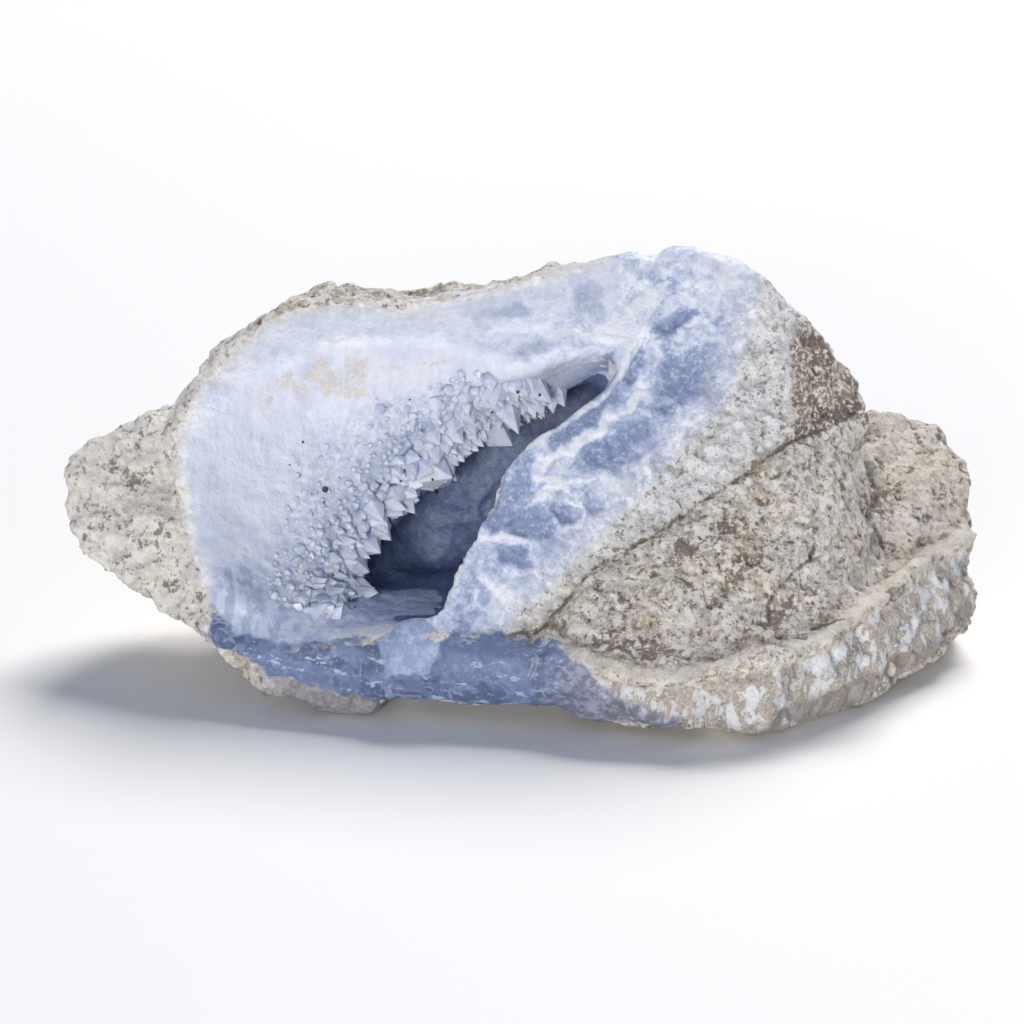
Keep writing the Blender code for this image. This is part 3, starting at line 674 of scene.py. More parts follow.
class Finish:
    """One material's node tree. node() adds any node; the other methods are short forms of it."""

    def __init__(self, name):
        self.material = bpy.data.materials.new(name)
        self.material.use_nodes = True
        self.tree = self.material.node_tree
        self.tree.nodes.clear()
        place = self.node("ShaderNodeTexCoord", output="Object")
        self.mm = self.vector("SCALE", place, scale=1.0 / MM)

    def node(self, kind, settings=None, sockets=None, output=0):
        """A new node with its settings, a ramp's stops among them, and then its sockets' values or links."""
        made = self.tree.nodes.new(kind)
        for key, value in (settings or {}).items():
            if key == "stops":
                elements = made.color_ramp.elements
                while len(elements) < len(value):
                    elements.new(0.5)
                for element, (place, colour) in zip(elements, value):
                    element.position = place
                    element.color = (*colour, 1.0)
            else:
                setattr(made, key, value)
        for key, value in (sockets or {}).items():
            if isinstance(value, Wire):
                self.tree.links.new(value.socket, made.inputs[key])
            else:
                made.inputs[key].default_value = value
        return Wire(self, made.outputs[output]) if made.outputs else made

    def vector(self, operation, a, b=None, scale=None):
        """Vector arithmetic on a and b, or on a and a number."""
        sockets = {0: a}
        if b is not None:
            sockets[1] = b
        if scale is not None:
            sockets["Scale"] = scale
        return self.node("ShaderNodeVectorMath", {"operation": operation}, sockets)

    def axis(self, number):
        """The place's distance along one of the axes, in millimetres."""
        return self.node("ShaderNodeSeparateXYZ", {}, {0: self.mm}, output=number)

    def attribute(self, name):
        """One of the surface's marks."""
        return self.node("ShaderNodeAttribute", {"attribute_name": name}, output="Fac")

    def stretched(self, x, y, z):
        """Millimetre coordinates times these numbers, so that a pattern runs long where one is small."""
        return self.vector("MULTIPLY", self.mm, (x, y, z))

    def noise(self, size, detail=4.0, roughness=0.55, distortion=0.0, at=None, output=0):
        """Noise of that size in millimetres, or of 1 in the units of another place."""
        return self.node(
            "ShaderNodeTexNoise",
            {"noise_dimensions": "3D"},
            {
                "Vector": at or self.mm,
                "Scale": 1.0 / size,
                "Detail": detail,
                "Roughness": roughness,
                "Distortion": distortion,
            },
            output=output,
        )

    def grains(self, size, at=None):
        """A random number in 0..1 for each grain of that size in millimetres."""
        place = {"Vector": at or self.mm, "Scale": 1.0 / size}
        tint = self.node("ShaderNodeTexVoronoi", {"feature": "F1"}, place, output="Color")
        return self.node("ShaderNodeSeparateColor", {}, {0: tint})

    def step(self, value, start, end):
        """0 before start and 1 after end, eased between."""
        return self.node(
            "ShaderNodeMapRange",
            {"interpolation_type": "SMOOTHSTEP"},
            {"Value": value, "From Min": start, "From Max": end, "To Min": 0.0, "To Max": 1.0},
        )

    def mix(self, share, a, b):
        """Colour a where the share is 0 and b where it is 1."""
        a, b = [colour if isinstance(colour, Wire) else (*colour, 1.0) for colour in (a, b)]
        return self.node("ShaderNodeMix", {"data_type": "RGBA"}, {0: share, 6: a, 7: b}, output=2)

    def layers(self, base, *rows):
        """Colours laid over a base in turn. Each row has a value, where its colour starts and where it is
        full, the share that it covers there, and the colour."""
        for value, start, end, share, colour in rows:
            base = self.mix(self.step(value, start, end) * share, base, colour)
        return base

    def ramp(self, value, stops):
        """A colour for each value, from stops of a place and a colour."""
        return self.node("ShaderNodeValToRGB", {"stops": stops}, {"Fac": value})

    def bump(self, height, distance, strength):
        """A normal bent by a height, which stands for up to that distance in metres."""
        sockets = {"Height": height, "Distance": distance, "Strength": strength}
        return self.node("ShaderNodeBump", {}, sockets)

    def surface(self, **sockets):
        """A Principled shader with these sockets, named with _ for a space."""
        named = {name.replace("_", " "): value for name, value in sockets.items()}
        return self.node("ShaderNodeBsdfPrincipled", {}, named)

    def done(self, shader):
        """The material, with this shader as its surface."""
        self.node("ShaderNodeOutputMaterial", {}, {"Surface": shader})
        return self.material


def mixed(a, b, share):
    """A plain colour between two plain colours."""
    return tuple(p + (q - p) * share for p, q in zip(a, b))


def rgb(colour):
    """A setting's colour as a plain tuple."""
    return tuple(colour)[:3]


# Colours that no setting changes
# NIGHT also serves as the painted shade of the hollow's walls
NIGHT = (0.07, 0.10, 0.18)
SILL_VIOLET = ((0.21, 0.20, 0.24), (0.40, 0.39, 0.44))
# The foot's violet grey: partly the rind's own colour, partly painted shade under the stone
FOOT_VIOLET_AND_SHADE = ((0.20, 0.18, 0.205), (0.42, 0.40, 0.43))
RIM_CRUMBS = ((0.72, 0.66, 0.58), (0.90, 0.88, 0.85))
DRUSE_GREY = (0.45, 0.46, 0.54)
SLAB_GREY = (0.60, 0.60, 0.62)
ROCK_GREY = (0.56, 0.54, 0.53)
SUGAR = ((0.94, 0.93, 0.92), (0.72, 0.69, 0.66), (0.98, 0.98, 0.98), (0.36, 0.34, 0.325))
# The quartz band's patches: where each starts and its colour
BAND_PATCHES = [
    (0.40, (0.94, 0.94, 0.95)), (0.46, (0.78, 0.76, 0.75)), (0.485, (0.40, 0.33, 0.27)),
    (0.51, (0.76, 0.69, 0.61)), (0.55, (0.50, 0.41, 0.33)), (0.59, (0.94, 0.93, 0.92)),
]
QUARTZ_SHADE = (0.34, 0.40, 0.58)
# Painted shade that darkens the feet of the quartz points, between them
QUARTZ_FOOT_SHADE = (0.22, 0.26, 0.42)
# Painted light that whitens the tips of the quartz points
QUARTZ_TIP_LIGHT = (0.90, 0.92, 0.97)
RUST = (0.4, 0.22, 0.1)
# How far light of each colour travels in chalcedony and quartz, against each other
GLOW = (0.9, 1.1, 1.5)


# Colours of the stone's zones
def rim_colour(f, s, cloud, fine, blue):
    """Porcelain rim: faint upright fibres on its left, streaks of blue along its arc that turn into the
    blue face on the right, grainy ochre stains, and a druse that turns greyer towards its points."""
    white = rgb(s.white)
    porcelain = rgb(s.porcelain)
    pale = rgb(s.pale_blue)
    fibre = f.noise(1.0, at=f.stretched(1.1, 0.3, 0.16))
    rim = f.layers(
        porcelain,
        (fibre, 0.42, 0.64, 0.3, mixed(porcelain, pale, 0.7)),
        (cloud, 0.44, 0.62, 0.5, mixed(porcelain, pale, 0.4)),
        (fine, 0.52, 0.66, 0.5, white),
    )
    arc = f.attribute("arc")
    flow = f.node("ShaderNodeCombineXYZ", {}, {"X": arc * 0.35 + cloud * 4.0, "Y": f.noise(7.0) * 5.0})
    streak = f.noise(1.0, detail=5.0, roughness=0.65, at=flow)
    band = f.layers(
        mixed(pale, porcelain, 0.7),
        (streak, 0.40, 0.56, 1.0, white),
        (fine, 0.5, 0.62, 0.45, white),
        (f.axis(0) + fine * 8.0, -8.0, 4.0, 0.65, blue),
    )
    rim = f.mix(f.step(arc + fine * 1.6, 0.4, 1.6), rim, band)
    bent = f.vector("ADD", f.mm, f.vector("SCALE", f.noise(3.0, output="Color"), scale=2.2))
    facet = f.grains(2.6, at=bent)
    rim = f.mix(facet * 0.25, rim, mixed(porcelain, pale, 0.5))
    druse = f.step(f.attribute("druse") + cloud * 5.0, 0.5, 6.0)
    rim = f.mix(druse * facet * 0.5, rim, mixed(pale, porcelain, 0.3))
    crumb = f.step(f.noise(0.7, roughness=0.7), 0.42, 0.6)
    margin = 1.0 - f.step(f.attribute("open_face") + fine * 3.0, 1.8, 3.6)
    rim = f.mix(margin * 0.7, rim, f.mix(crumb, *RIM_CRUMBS))
    rim = f.mix(druse * 0.5, rim, f.mix(crumb, mixed(pale, DRUSE_GREY, 0.5), mixed(pale, white, 0.75)))
    grain = f.noise(0.55, roughness=0.7)
    stain = f.attribute("stain") * 1.2 + fine * 2.0 + grain * 3.0
    return f.layers(rim, (stain, 3.0, 3.7, 0.62, mixed(rgb(s.ochre), porcelain, 0.2)))


def blue_colour(f, s, cloud, fine):
    """The mottled blue face: deep pools, pale clouds and soft white veins, whiter towards its right and
    its top."""
    white = rgb(s.white)
    pale = rgb(s.pale_blue)
    deep = rgb(s.deep_blue)
    milk = f.noise(2.2, detail=6.0, roughness=0.7, distortion=1.0)
    vein = f.step(f.attribute("vein") + milk * 2.4 - 1.2, -0.25, 0.35)
    right = f.step(f.attribute("ridge"), 5.0, 8.0)
    to_edge = (1.0 - f.step(f.attribute("blue_face") + milk * 5.0 - 2.5, 0.0, 5.5)) * right
    flake = (1.0 - f.step(f.attribute("shell_edge"), 0.02, 0.12)) * f.step(milk, 0.44, 0.54)
    tone = cloud * 0.5 + milk * 0.5 + (fine - 0.5) * 0.35 + f.attribute("pool") * 0.26
    tone = tone - vein * 0.12 - flake * 0.09 + 0.02 - f.step(f.axis(2), 38.0, 52.0) * 0.05
    stops = [(0.36, white), (0.45, mixed(pale, white, 0.62)), (0.52, mixed(pale, white, 0.2))]
    stops += [(0.58, mixed(pale, deep, 0.3)), (0.72, mixed(pale, deep, 0.72))]
    frost = f.noise(0.6, roughness=0.7)
    blue = f.layers(f.ramp(tone, stops), (frost, 0.52, 0.62, 0.35, white))
    return f.mix(to_edge * 0.85, blue, f.mix(f.step(fine, 0.46, 0.56), mixed(SLAB_GREY, pale, 0.3), white))


def sill_colour(f, s, cloud, fine):
    """The deep blue sill: night blue in clouds, with flakes and thin pale lines, and violet towards its
    right."""
    white = rgb(s.white)
    pale = rgb(s.pale_blue)
    deep = rgb(s.deep_blue)
    flakes = f.noise(1.6, detail=5.0, roughness=0.7, at=f.stretched(0.5, 1.0, 1.3))
    lines = 1.0 - f.step(abs(f.noise(7.0, detail=3.0, distortion=0.8) - 0.5), 0.0, 0.02)
    sill = f.layers(
        mixed(deep, NIGHT, 0.15),
        (cloud, 0.44, 0.56, 1.0, mixed(deep, NIGHT, 0.75)),
        (fine, 0.50, 0.60, 0.6, mixed(pale, deep, 0.7)),
        (flakes, 0.58, 0.62, 0.7, mixed(pale, white, 0.3)),
    )
    sill = f.mix(lines * f.step(cloud, 0.45, 0.55) * 0.6, sill, pale)
    violet = f.mix(f.step(fine, 0.44, 0.56), *SILL_VIOLET)
    return f.layers(sill, (f.axis(0) + cloud * 12.0, 6.0, 16.0, 0.75, violet))


def hollow_colour(f, s, fine):
    """The hollow: steel blue walls darkened towards night blue as painted shade, and a paler floor."""
    white = rgb(s.white)
    pale = rgb(s.pale_blue)
    deep = rgb(s.deep_blue)
    # Painted shade: the walls are mixed with night blue for the shade inside the hollow
    walls = f.mix(f.step(fine, 0.42, 0.64), mixed(deep, NIGHT, 0.55), mixed(deep, pale, 0.05))
    floor = f.mix(f.step(fine, 0.42, 0.62), mixed(pale, deep, 0.1), mixed(pale, white, 0.4))
    return f.mix(f.step(f.attribute("hollow"), 0.92, 0.82), walls, floor)


def chalcedony_colour(f, s):
    """The rim, its fractured foot, the chip of the roof with painted shade by the ridge, the blue face with
    a painted highlight along its sharp edge, the sill, the pale block and the hollow with painted shade on
    its walls, each laid over the ones before where its mark says."""
    white = rgb(s.white)
    pale = rgb(s.pale_blue)
    deep = rgb(s.deep_blue)
    cloud = f.noise(5.0, detail=6.0, roughness=0.62, distortion=0.5)
    fine = f.noise(1.1, detail=5.0, roughness=0.65)
    blue = blue_colour(f, s, cloud, fine)
    rim = rim_colour(f, s, cloud, fine, blue)
    splinters = f.noise(1.0, roughness=0.6, at=f.stretched(0.7, 0.4, 0.16))
    foot = f.layers(
        mixed(pale, deep, 0.45),
        (splinters, 0.44, 0.58, 1.0, mixed(pale, white, 0.25)),
        (fine, 0.54, 0.64, 0.4, white),
    )
    ridge = f.attribute("ridge")
    # Painted shade: the chip darkens to deep blue in the crevice towards the ridge
    crevice_shade = f.step(ridge + fine * 2.0, -3.6, -0.8)
    chip = f.mix(crevice_shade, mixed(pale, rgb(s.porcelain), 0.5), mixed(deep, pale, 0.3))
    colour = f.layers(
        rim,
        (f.attribute("left_blue") + cloud * 8.0, 3.4, 6.4, 0.85, foot),
        (f.attribute("chip") + fine, 0.3, 0.9, 1.0, chip),
        (f.noise(2.0) * 2.0 + f.attribute("blue_face"), 0.3, 1.4, 1.0, blue),
    )
    # Painted highlight: a thin white line along the ridge of the blue face
    colour = f.mix((1.0 - f.step(abs(ridge - 0.3), 0.1, 0.4)) * 0.7, colour, white)
    block = f.mix(f.step(fine, 0.45, 0.6), mixed(pale, deep, 0.6), mixed(pale, deep, 0.2))
    return f.layers(
        colour,
        (f.attribute("sill") + fine * 2.0 - 1.0, -0.7, 0.1, 1.0, sill_colour(f, s, cloud, fine)),
        (f.attribute("block"), -0.2, 0.2, 1.0, block),
        (f.attribute("hollow"), 0.1, 0.7, 1.0, hollow_colour(f, s, fine)),
    )


def sugar_colour(f, s, crumb, grain):
    """The grey sugary quartz above the crack."""
    pale, grey, bright, dark = SUGAR
    return f.layers(
        pale,
        (crumb, 0.25, 0.85, 1.0, grey),
        (grain, 0.46, 0.56, 0.7, bright),
        (grain, 0.44, 0.36, 0.6, dark),
        (f.noise(2.4), 0.57, 0.68, 0.5, rgb(s.ochre)),
    )


def band_colour(f, s, grain, grey):
    """The quartz band below the ledge: white, tan and brown patches, with dark and cream grains."""
    patches = f.noise(3.6, detail=6.0, roughness=0.62, at=f.stretched(1.0, 1.0, 0.6))
    return f.layers(
        f.ramp(patches, BAND_PATCHES),
        (grain, 0.54, 0.64, 0.4, mixed(rgb(s.brown), grey, 0.3)),
        (grain, 0.46, 0.36, 0.5, rgb(s.cream)),
    )


def matrix_colour(f, s):
    """Beige and cream grains with brown ones, dark pits, painted shade in the cracks, an ochre ledge, a
    patchy quartz band below it with painted shade under its foot, a violet grey foot darkened with painted
    shade, and a grey sugary zone above the crack."""
    beige = rgb(s.beige)
    brown = rgb(s.brown)
    ochre = rgb(s.ochre)
    cream = rgb(s.cream)
    grey = mixed(beige, ROCK_GREY, 0.6)
    dark = mixed(brown, grey, 0.1)
    patch = f.noise(6.0, detail=6.0, roughness=0.65)
    grain = f.noise(0.8, detail=6.0, roughness=0.75)
    coarse = f.noise(1.9, detail=6.0, roughness=0.72)
    broad = f.noise(16.0)
    crumb = f.grains(0.75)
    across = f.axis(0)
    base = f.layers(
        grey,
        (patch * 0.5 + broad * 0.5, 0.44, 0.56, 1.0, beige),
        (broad, 0.52, 0.64, 0.4, mixed(ochre, brown, 0.15)),
        (f.noise(3.0, detail=5.0), 0.48, 0.58, 0.75, cream),
        (f.noise(4.2, detail=6.0, roughness=0.7), 0.52, 0.6, 0.55, mixed(brown, ochre, 0.75)),
        (coarse, 0.55, 0.6, 0.45, mixed(brown, ochre, 0.5)),
        (crumb, 0.78, 0.95, 0.5, mixed(brown, grey, 0.4)),
        (crumb, 0.4, 0.1, 0.7, cream),
        (grain, 0.56, 0.59, 0.85, dark),
        (coarse * 0.7 + broad * 0.3, 0.56, 0.6, 0.6, dark),
        (grain, 0.46, 0.40, 0.9, cream),
        (across, -34.0, -42.0, 0.6, cream),
    )
    shoulder = f.step(across, 38.0, 46.0) * f.step(patch, 0.40, 0.54)
    base = f.mix(shoulder * 0.55, base, mixed(cream, ochre, 0.45))
    above = f.attribute("above_crack") + coarse * 3.0
    sugary = f.step(above, 1.2, 3.4) * f.step(f.attribute("blue_face"), -8.9, -7.0)
    base = f.mix(sugary, base, sugar_colour(f, s, crumb, grain))
    patina = f.mix(f.step(grain, 0.44, 0.53), mixed(beige, cream, 0.6), mixed(brown, beige, 0.08))
    base = f.layers(
        base,
        (f.attribute("patina") + coarse * 3.0, 1.0, 2.2, 0.85, patina),
        (f.attribute("dirt") * 0.75 + (grain + coarse) * 4.0 - 4.0, 0.32, 0.6, 0.75, brown),
    )
    ledge = f.attribute("ledge")
    crease = 1.0 - f.step(abs(ledge + grain * 2.0 + 1.4), 0.2, 1.2)
    base = f.mix(crease * f.step(coarse, 0.44, 0.54) * 0.6, base, brown)
    crest = 1.0 - f.step(abs(ledge + grain * 3.0 - 1.0), 0.2, 1.3)
    base = f.mix(crest * 0.7, base, mixed(cream, ochre, 0.3))
    base = f.layers(base, (ledge + grain * 3.0, 2.4, 3.6, 1.0, band_colour(f, s, grain, grey)))
    # Painted shade: brown grey below the quartz band's foot, where the stone turns under
    under = 1.0 - f.step(f.attribute("band") + grain * 3.0, 1.2, 2.6)
    base = f.mix(under * 0.65, base, mixed(brown, grey, 0.3))
    # Darker violet grey on the low front foot: the rind's grey violet and painted shade under the stone
    foot = f.attribute("low") * f.step(across, 12.0, 4.0) * f.step(across, -36.0, -28.0)
    base = f.mix(foot * 0.8, base, f.mix(f.step(grain, 0.44, 0.56), *FOOT_VIOLET_AND_SHADE))
    # Painted shade: the cracks are drawn dark brown to near black for the shade that falls in them
    crack = 1.0 - f.step(f.attribute("crack") + coarse * 2.0 - 0.95, 0.08, 0.4)
    return f.mix(crack * 0.8, base, mixed(brown, (0.0, 0.0, 0.0), 0.5))


# Materials
def stone_material(s):
    """Rock and translucent chalcedony, mixed where the matrix ends."""
    f = Finish("chalcedony_stone")
    grain = f.noise(0.45, detail=6.0, roughness=0.75)
    coarse = f.noise(1.6, detail=6.0, roughness=0.7)
    edge = f.step(f.attribute("matrix") + f.noise(1.2) * 2.4 - 1.2, -0.5, 0.5)
    rock = f.surface(
        Base_Color=matrix_colour(f, s),
        Roughness=0.8,
        Normal=f.bump(grain * 0.5 + coarse * 1.2, 0.8 * MM, 0.8),
    )
    shells = f.noise(2.0, detail=5.0, roughness=0.6)
    clear = f.surface(
        Base_Color=chalcedony_colour(f, s),
        Roughness=f.step(grain, 0.2, 0.8) * 0.25 + 0.3,
        Subsurface_Weight=0.25,
        Subsurface_Radius=GLOW,
        Subsurface_Scale=1.5 * MM,
        Normal=f.bump(shells * 1.2 + grain * 0.15, 0.5 * MM, 0.7),
    )
    return f.done(f.node("ShaderNodeMixShader", {}, {0: edge, 1: clear, 2: rock}))


def quartz_material(s):
    """Milky quartz in clouds, with painted shade darkening the points' feet and painted light whitening
    their tips.
    """
    f = Finish("milky_quartz")
    milky = rgb(s.milky)
    cloud = f.noise(1.6)
    tip = f.attribute("tip")
    colour = f.layers(
        mixed(milky, QUARTZ_SHADE, 0.45),
        (cloud, 0.42, 0.58, 1.0, milky),
        # Painted shade at the points' feet and painted light at their tips
        (tip, 0.45, 0.0, 0.8, QUARTZ_FOOT_SHADE),
        (tip, 0.3, 1.0, 0.4, QUARTZ_TIP_LIGHT),
    )
    shader = f.surface(
        Base_Color=colour,
        Roughness=f.step(cloud, 0.3, 0.7) * 0.2 + 0.25,
        Subsurface_Weight=0.35,
        Subsurface_Radius=GLOW,
        Subsurface_Scale=0.7 * MM,
        Normal=f.bump(f.noise(0.7, detail=3.0), 0.1 * MM, 0.4),
    )
    return f.done(shader)


def speck_material(s):
    """Dark mineral specks with rusty places."""
    f = Finish("dark_speck")
    speck = rgb(s.speck)
    colour = f.mix(f.step(f.noise(0.3, detail=3.0), 0.45, 0.7), speck, mixed(speck, RUST, 0.5))
    return f.done(f.surface(Base_Color=colour, Roughness=0.5, Normal=f.bump(f.noise(0.2), 0.1 * MM, 0.6)))


# Surface points that the other pieces stand on
def spread(co, size, seed):
    """Indices of points about that size apart: in each cube of a grid the point with the highest random
    number."""
    rank = np.random.default_rng(seed).permutation(len(co))
    cube = np.floor(co / size).astype(np.int64)
    cube -= cube.min(axis=0)
    span = cube.max(axis=0) + 1
    index = (cube[:, 0] * span[1] + cube[:, 1]) * span[2] + cube[:, 2]
    order = np.lexsort((rank, index))
    first = np.r_[True, np.diff(index[order]) > 0]
    return np.sort(order[first])


def point_crystals(places, ways, radii, lengths, turns, seed):
    """Six-sided points as one mesh: a ring sunk below the surface, a ring at the shoulder and a tip, each
    pushed a little out of true, with the foot closed by a fan."""
    count = len(places)
    picker = np.random.default_rng(seed)
    helper = np.where(np.abs(ways[:, 2:3]) < 0.9, np.array([[0.0, 0.0, 1.0]]), np.array([[1.0, 0.0, 0.0]]))
    side = np.cross(ways, helper)
    side /= np.linalg.norm(side, axis=1, keepdims=True)
    other = np.cross(ways, side)
    angle = turns[:, None] + np.arange(6) * math.pi / 3.0
    wide = 1.0 + picker.uniform(-0.18, 0.18, (count, 6))
    ring = (np.cos(angle) * wide)[..., None] * side[:, None]
    ring = ring + (np.sin(angle) * wide)[..., None] * other[:, None]
    ring = ring * radii[:, None, None]
    foot = places[:, None] + ring * 0.92 - ways[:, None] * (radii * 0.9)[:, None, None]
    shoulder_height = lengths[:, None] * picker.uniform(0.08, 0.4, (count, 6))
    shoulder = places[:, None] + ring + ways[:, None] * shoulder_height[..., None]
    lean = side * picker.uniform(-0.3, 0.3, (count, 1)) + other * picker.uniform(-0.3, 0.3, (count, 1))
    tip = places + ways * lengths[:, None] + lean * radii[:, None]
    base = places - ways * (radii * 0.95)[:, None]
    corners = np.concatenate([foot, shoulder, tip[:, None], base[:, None]], axis=1)
    faces = []
    for k in range(6):
        j = (k + 1) % 6
        faces += [(k, j, 6 + j), (k, 6 + j, 6 + k), (6 + k, 6 + j, 12), (j, k, 13)]
    faces = np.array(faces)[None] + np.arange(count)[:, None, None] * 14
    return corners.reshape(-1, 3), faces.reshape(-1, 3)


def round_ball(rings, sides):
    """Points and triangles of a ball of radius 1: each ring is a circle as wide as the sine of its angle
    from the pole and as high as the cosine, and the first and the last ring are the poles."""
    u = np.linspace(0.0, math.pi, rings)[:, None]
    v = np.linspace(0.0, 2.0 * math.pi, sides, endpoint=False)[None]
    ball = np.stack([np.sin(u) * np.cos(v), np.sin(u) * np.sin(v), np.cos(u) + 0.0 * v], axis=-1)
    ring, side = np.meshgrid(np.arange(rings - 1), np.arange(sides), indexing="ij")
    a = ring * sides + side
    b = ring * sides + (side + 1) % sides
    faces = np.stack([a, a + sides, b + sides, a, b + sides, b], axis=-1)
    return ball.reshape(-1, 3), faces.reshape(-1, 3)


def seen_place(trees, across, up):
    """Where the line of sight through a place of the front view first meets one of the trees' surfaces."""
    way = FRONT_AIM + np.array((across, 0.0, 0.0)) + up * FRONT_UP - FRONT_EYE
    start = Vector((FRONT_EYE - MARK_ORIGIN) * MM)
    hits = [tree.ray_cast(start, Vector(way / np.linalg.norm(way))) for tree in trees]
    hits = [hit for hit in hits if hit[0] is not None]
    if not hits:
        raise RuntimeError("a speck has nothing to sit on")
    return np.array(min(hits, key=lambda hit: hit[3])[0])


def mesh_of(name, co, faces, smooth):
    """A mesh from arrays of points and triangles."""
    mesh = bpy.data.meshes.new(name)
    mesh.from_pydata(co.tolist(), [], faces.tolist())
    mesh.polygons.foreach_set("use_smooth", np.full(len(mesh.polygons), smooth))
    mesh.update()
    return mesh


class BuildStone(bpy.types.Operator):
    """Broken surface of the stone: the solid laid out on an even grid, finer where the front view sees it,
    and moved along its normals by its relief. Its marks become attributes."""

    bl_idname = "chalcedony.stone"
    bl_label = "Broken stone"

    def execute(self, context):
        s = context.scene.chalcedony_stone
        mesh = regridded(merged_copy("stone"), s.voxel, SMOOTHING)
        p = in_marks(points_of(mesh))
        flat, distance = front(p)
        turned_to_view = -normals_of(mesh) @ FRONT_AWAY > -0.15
        refine(mesh, turned_to_view & (nearest_layer(flat, distance, SEEN_SQUARE, REFINED_REACH) > 0.3))
        co = points_of(mesh)
        normal = normals_of(mesh)
        marks = marks_of(in_marks(co), normal)
        height = stone_relief(in_marks(co), marks, s.matrix_relief / MM, s.shell_relief / MM)
        co = co + normal * (height * MM)[:, None]
        co[:, 2] = np.maximum(co[:, 2], FLOOR_GAP)
        mesh.vertices.foreach_set("co", co.ravel())
        for name, values in marks.items():
            layer = mesh.attributes.new(name, "FLOAT", "POINT")
            layer.data.foreach_set("value", values.astype(np.float32))
        mesh.polygons.foreach_set("use_smooth", np.ones(len(mesh.polygons), bool))
        mesh.update()
        add_piece("broken_stone", mesh, stone_material(s), "stone")
        return {"FINISHED"}


class BuildCrystals(bpy.types.Operator):
    """Quartz points of the druse, spread over the slope that the crust covers: the larger the nearer to
    the edge, over which they lean into the hollow."""

    bl_idname = "chalcedony.crystals"
    bl_label = "Quartz points"

    def execute(self, context):
        s = context.scene.chalcedony_crystals
        stone = bpy.data.objects["broken_stone"].data
        co = points_of(stone)
        normal = normals_of(stone)
        edge = to_line(front(in_marks(co))[0], DRUSE_EDGE)[0]
        low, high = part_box("crystal_crust")
        near = np.all((co > np.array(low) - CRUST_MARGIN) & (co < np.array(high) + CRUST_MARGIN), axis=1)
        near &= (edge > 0.3) & (past_face(in_marks(co)) < 14.0)
        picks = np.nonzero(near)[0]
        picks = picks[spread(co[picks], s.spacing, 7)]
        crust = tree_of(merged_copy("crystal_crust"))
        close = np.array([crust.find_nearest(Vector(co[i]), CRUST_REACH)[0] is not None for i in picks])
        picks = picks[close | (values_of(stone, "druse")[picks] > 0.5)]
        picks = picks[np.random.default_rng(5).random(len(picks)) < 1.15 - 0.07 * edge[picks]]
        if not len(picks):
            raise RuntimeError("the crust has no surface to stand on")
        picker = np.random.default_rng(11)
        count = len(picks)
        closeness = 1.0 - ramp(edge[picks], 1.0, DRUSE_SPAN)
        ways = normal[picks] + picker.normal(0.0, 0.36, (count, 3)) + closeness[:, None] * OVERHANG
        ways /= np.linalg.norm(ways, axis=1, keepdims=True)
        radii = s.radius * (0.28 + 0.6 * closeness) * np.exp(picker.normal(-0.2, 0.3, count))
        lengths = radii * picker.uniform(1.1, 2.3, count) * (0.6 + 0.45 * closeness)
        turns = picker.uniform(0.0, 6.28, count)
        corners, faces = point_crystals(co[picks], ways, radii, lengths, turns, 13)
        mesh = mesh_of("quartz_points", corners, faces, False)
        tip = np.tile(np.r_[np.zeros(6), np.full(6, 0.5), 1.0, 0.0], count)
        mesh.attributes.new("tip", "FLOAT", "POINT").data.foreach_set("value", tip.astype(np.float32))
        add_piece("quartz_points", mesh, quartz_material(s), "crystal_crust")
        return {"FINISHED"}


class BuildSpecks(bpy.types.Operator):
    """Dark mineral specks that sit on the quartz and the rim."""

    bl_idname = "chalcedony.specks"
    bl_label = "Mineral specks"

    def execute(self, context):
        s = context.scene.chalcedony_crystals
        trees = [tree_of(bpy.data.objects[name].data) for name in ("quartz_points", "broken_stone")]
        ball, faces = round_ball(SPECK_RINGS, SPECK_SIDES)
        specks = []
        for (across, up), half in SPECKS:
            bumpy = 1.0 + 0.35 * gradient_noise(ball * 1.7 + across, 83)
            specks.append(seen_place(trees, across, up) + ball * (half * MM * bumpy)[:, None])
        faces = (faces[None] + np.arange(len(specks))[:, None, None] * len(ball)).reshape(-1, 3)
        mesh = mesh_of("mineral_specks", np.concatenate(specks), faces, True)
        shape = bmesh.new()
        shape.from_mesh(mesh)
        bmesh.ops.remove_doubles(shape, verts=shape.verts, dist=0.002 * MM)
        bmesh.ops.recalc_face_normals(shape, faces=shape.faces)
        shape.to_mesh(mesh)
        shape.free()
        add_piece("mineral_specks", mesh, speck_material(s), None)
        return {"FINISHED"}


# Half the floor's side, and the soft lights: their aim, and their colour, side and place, in metres
FLOOR_HALF = 3.0
LIGHT_AIM = Vector((0.0, 0.0, 0.02))
OVERHEAD = ((1.0, 0.975, 0.94), 1.2, (0.6, 1.3, 1.9))
FROM_THE_FRONT = ((1.0, 0.98, 0.95), 0.3, (-0.25, -1.1, 0.17))


def soft_light(context, name, power, kind):
    """A square area light, aimed at the stone."""
    colour, size, place = kind
    lamp = bpy.data.lights.new(name, "AREA")
    lamp.energy = power
    lamp.shape = "SQUARE"
    lamp.size = size
    lamp.color = colour
    light = bpy.data.objects.new(name, lamp)
    light.location = place
    light.rotation_mode = "QUATERNION"
    light.rotation_quaternion = (LIGHT_AIM - light.location).to_track_quat("-Z", "Y")
    context.scene.collection.objects.link(light)


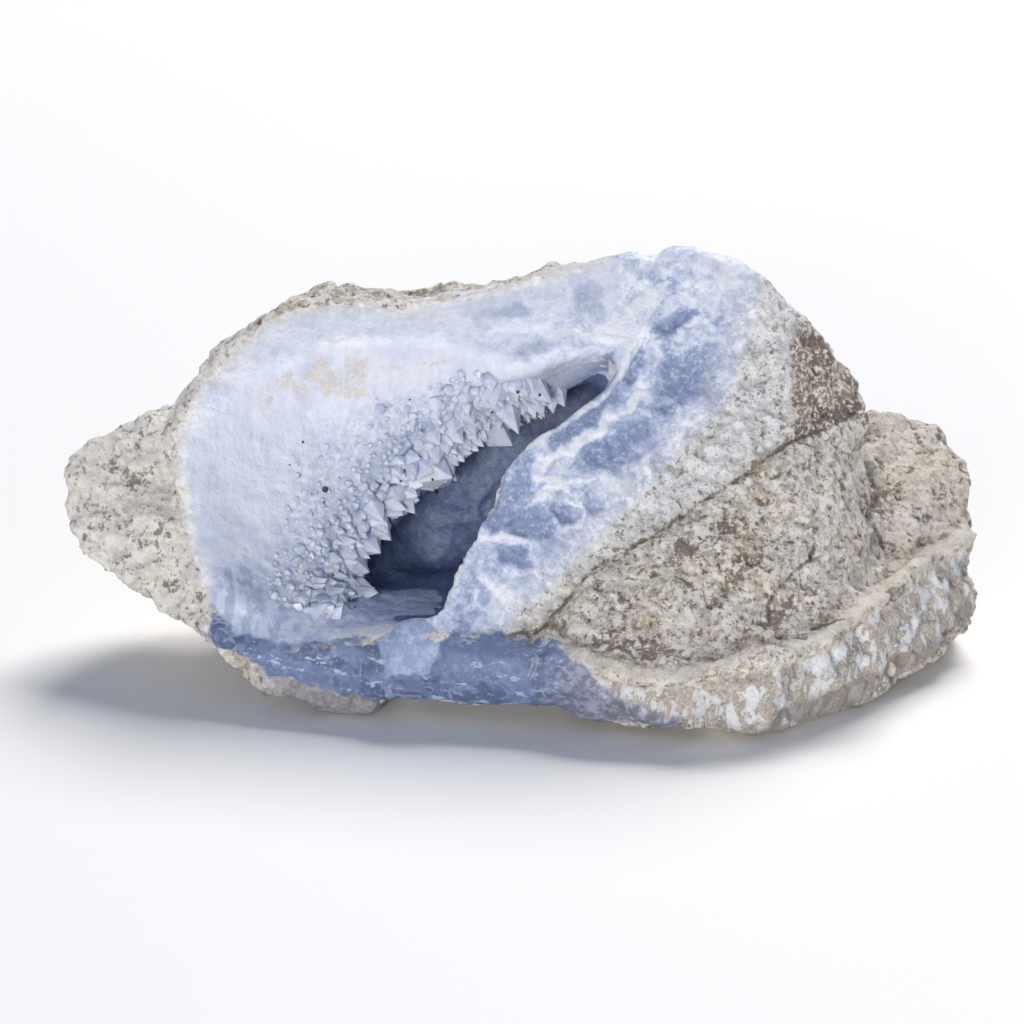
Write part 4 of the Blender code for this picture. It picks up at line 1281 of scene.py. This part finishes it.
class BuildStage(bpy.types.Operator):
    """Pale floor, soft light from above, from low in front and all round, and the camera of the front
    view."""

    bl_idname = "chalcedony.stage"
    bl_label = "Stage"

    def execute(self, context):
        s = context.scene.chalcedony_stage
        corners = np.array([(-1.0, -1.0, 0.0), (1.0, -1.0, 0.0), (1.0, 1.0, 0.0), (-1.0, 1.0, 0.0)])
        floor_mesh = mesh_of("floor", corners * FLOOR_HALF, np.array([(0, 1, 2), (0, 2, 3)]), False)
        f = Finish("pale_floor")
        floor_mesh.materials.append(f.done(f.surface(Base_Color=(*rgb(s.floor), 1.0), Roughness=0.6)))
        floor = bpy.data.objects.new("floor", floor_mesh)
        context.scene.collection.objects.link(floor)
        world = bpy.data.worlds.new("tent")
        context.scene.world = world
        world.use_nodes = True
        background = world.node_tree.nodes["Background"]
        background.inputs["Color"].default_value = (*rgb(s.sky), 1.0)
        background.inputs["Strength"].default_value = s.fill
        soft_light(context, "overhead", s.key, OVERHEAD)
        soft_light(context, "from_the_front", s.front, FROM_THE_FRONT)
        lens = bpy.data.cameras.new("front")
        lens.sensor_width = SENSOR
        lens.lens = SENSOR * FRONT_DISTANCE / FRONT_WIDTH
        lens.clip_start = 0.01
        camera = bpy.data.objects.new("front", lens)
        camera.location = (FRONT_EYE - MARK_ORIGIN) * MM
        camera.rotation_euler = (math.pi / 2.0 - FRONT_DOWN, 0.0, 0.0)
        context.scene.collection.objects.link(camera)
        context.scene.camera = camera
        context.scene.view_settings.view_transform = "Standard"
        return {"FINISHED"}


class ChalcedonyPanel(bpy.types.Panel):
    """Lists the pieces and the stage in the sidebar."""

    bl_idname = "VIEW3D_PT_chalcedony"
    bl_label = "Chalcedony"
    bl_space_type = "VIEW_3D"
    bl_region_type = "UI"
    bl_category = "Chalcedony"

    def draw(self, context):
        for operator in OPERATORS:
            self.layout.operator(operator.bl_idname)


OPERATORS = (BuildStone, BuildCrystals, BuildSpecks, BuildStage)
SETTINGS = {
    "chalcedony_stone": StoneSettings,
    "chalcedony_crystals": CrystalSettings,
    "chalcedony_stage": StageSettings,
}


def register():
    """Registers the settings, the operators and the panel."""
    for name, group in SETTINGS.items():
        bpy.utils.register_class(group)
        setattr(bpy.types.Scene, name, bpy.props.PointerProperty(type=group))
    for operator in OPERATORS:
        bpy.utils.register_class(operator)
    bpy.utils.register_class(ChalcedonyPanel)


def unregister():
    """Takes away what register() added."""
    bpy.utils.unregister_class(ChalcedonyPanel)
    for operator in reversed(OPERATORS):
        bpy.utils.unregister_class(operator)
    for name, group in SETTINGS.items():
        delattr(bpy.types.Scene, name)
        bpy.utils.unregister_class(group)


def main():
    register()
    bpy.ops.chalcedony.stone()
    bpy.ops.chalcedony.crystals()
    bpy.ops.chalcedony.specks()
    bpy.ops.chalcedony.stage()


if __name__ == "__main__":
    main()
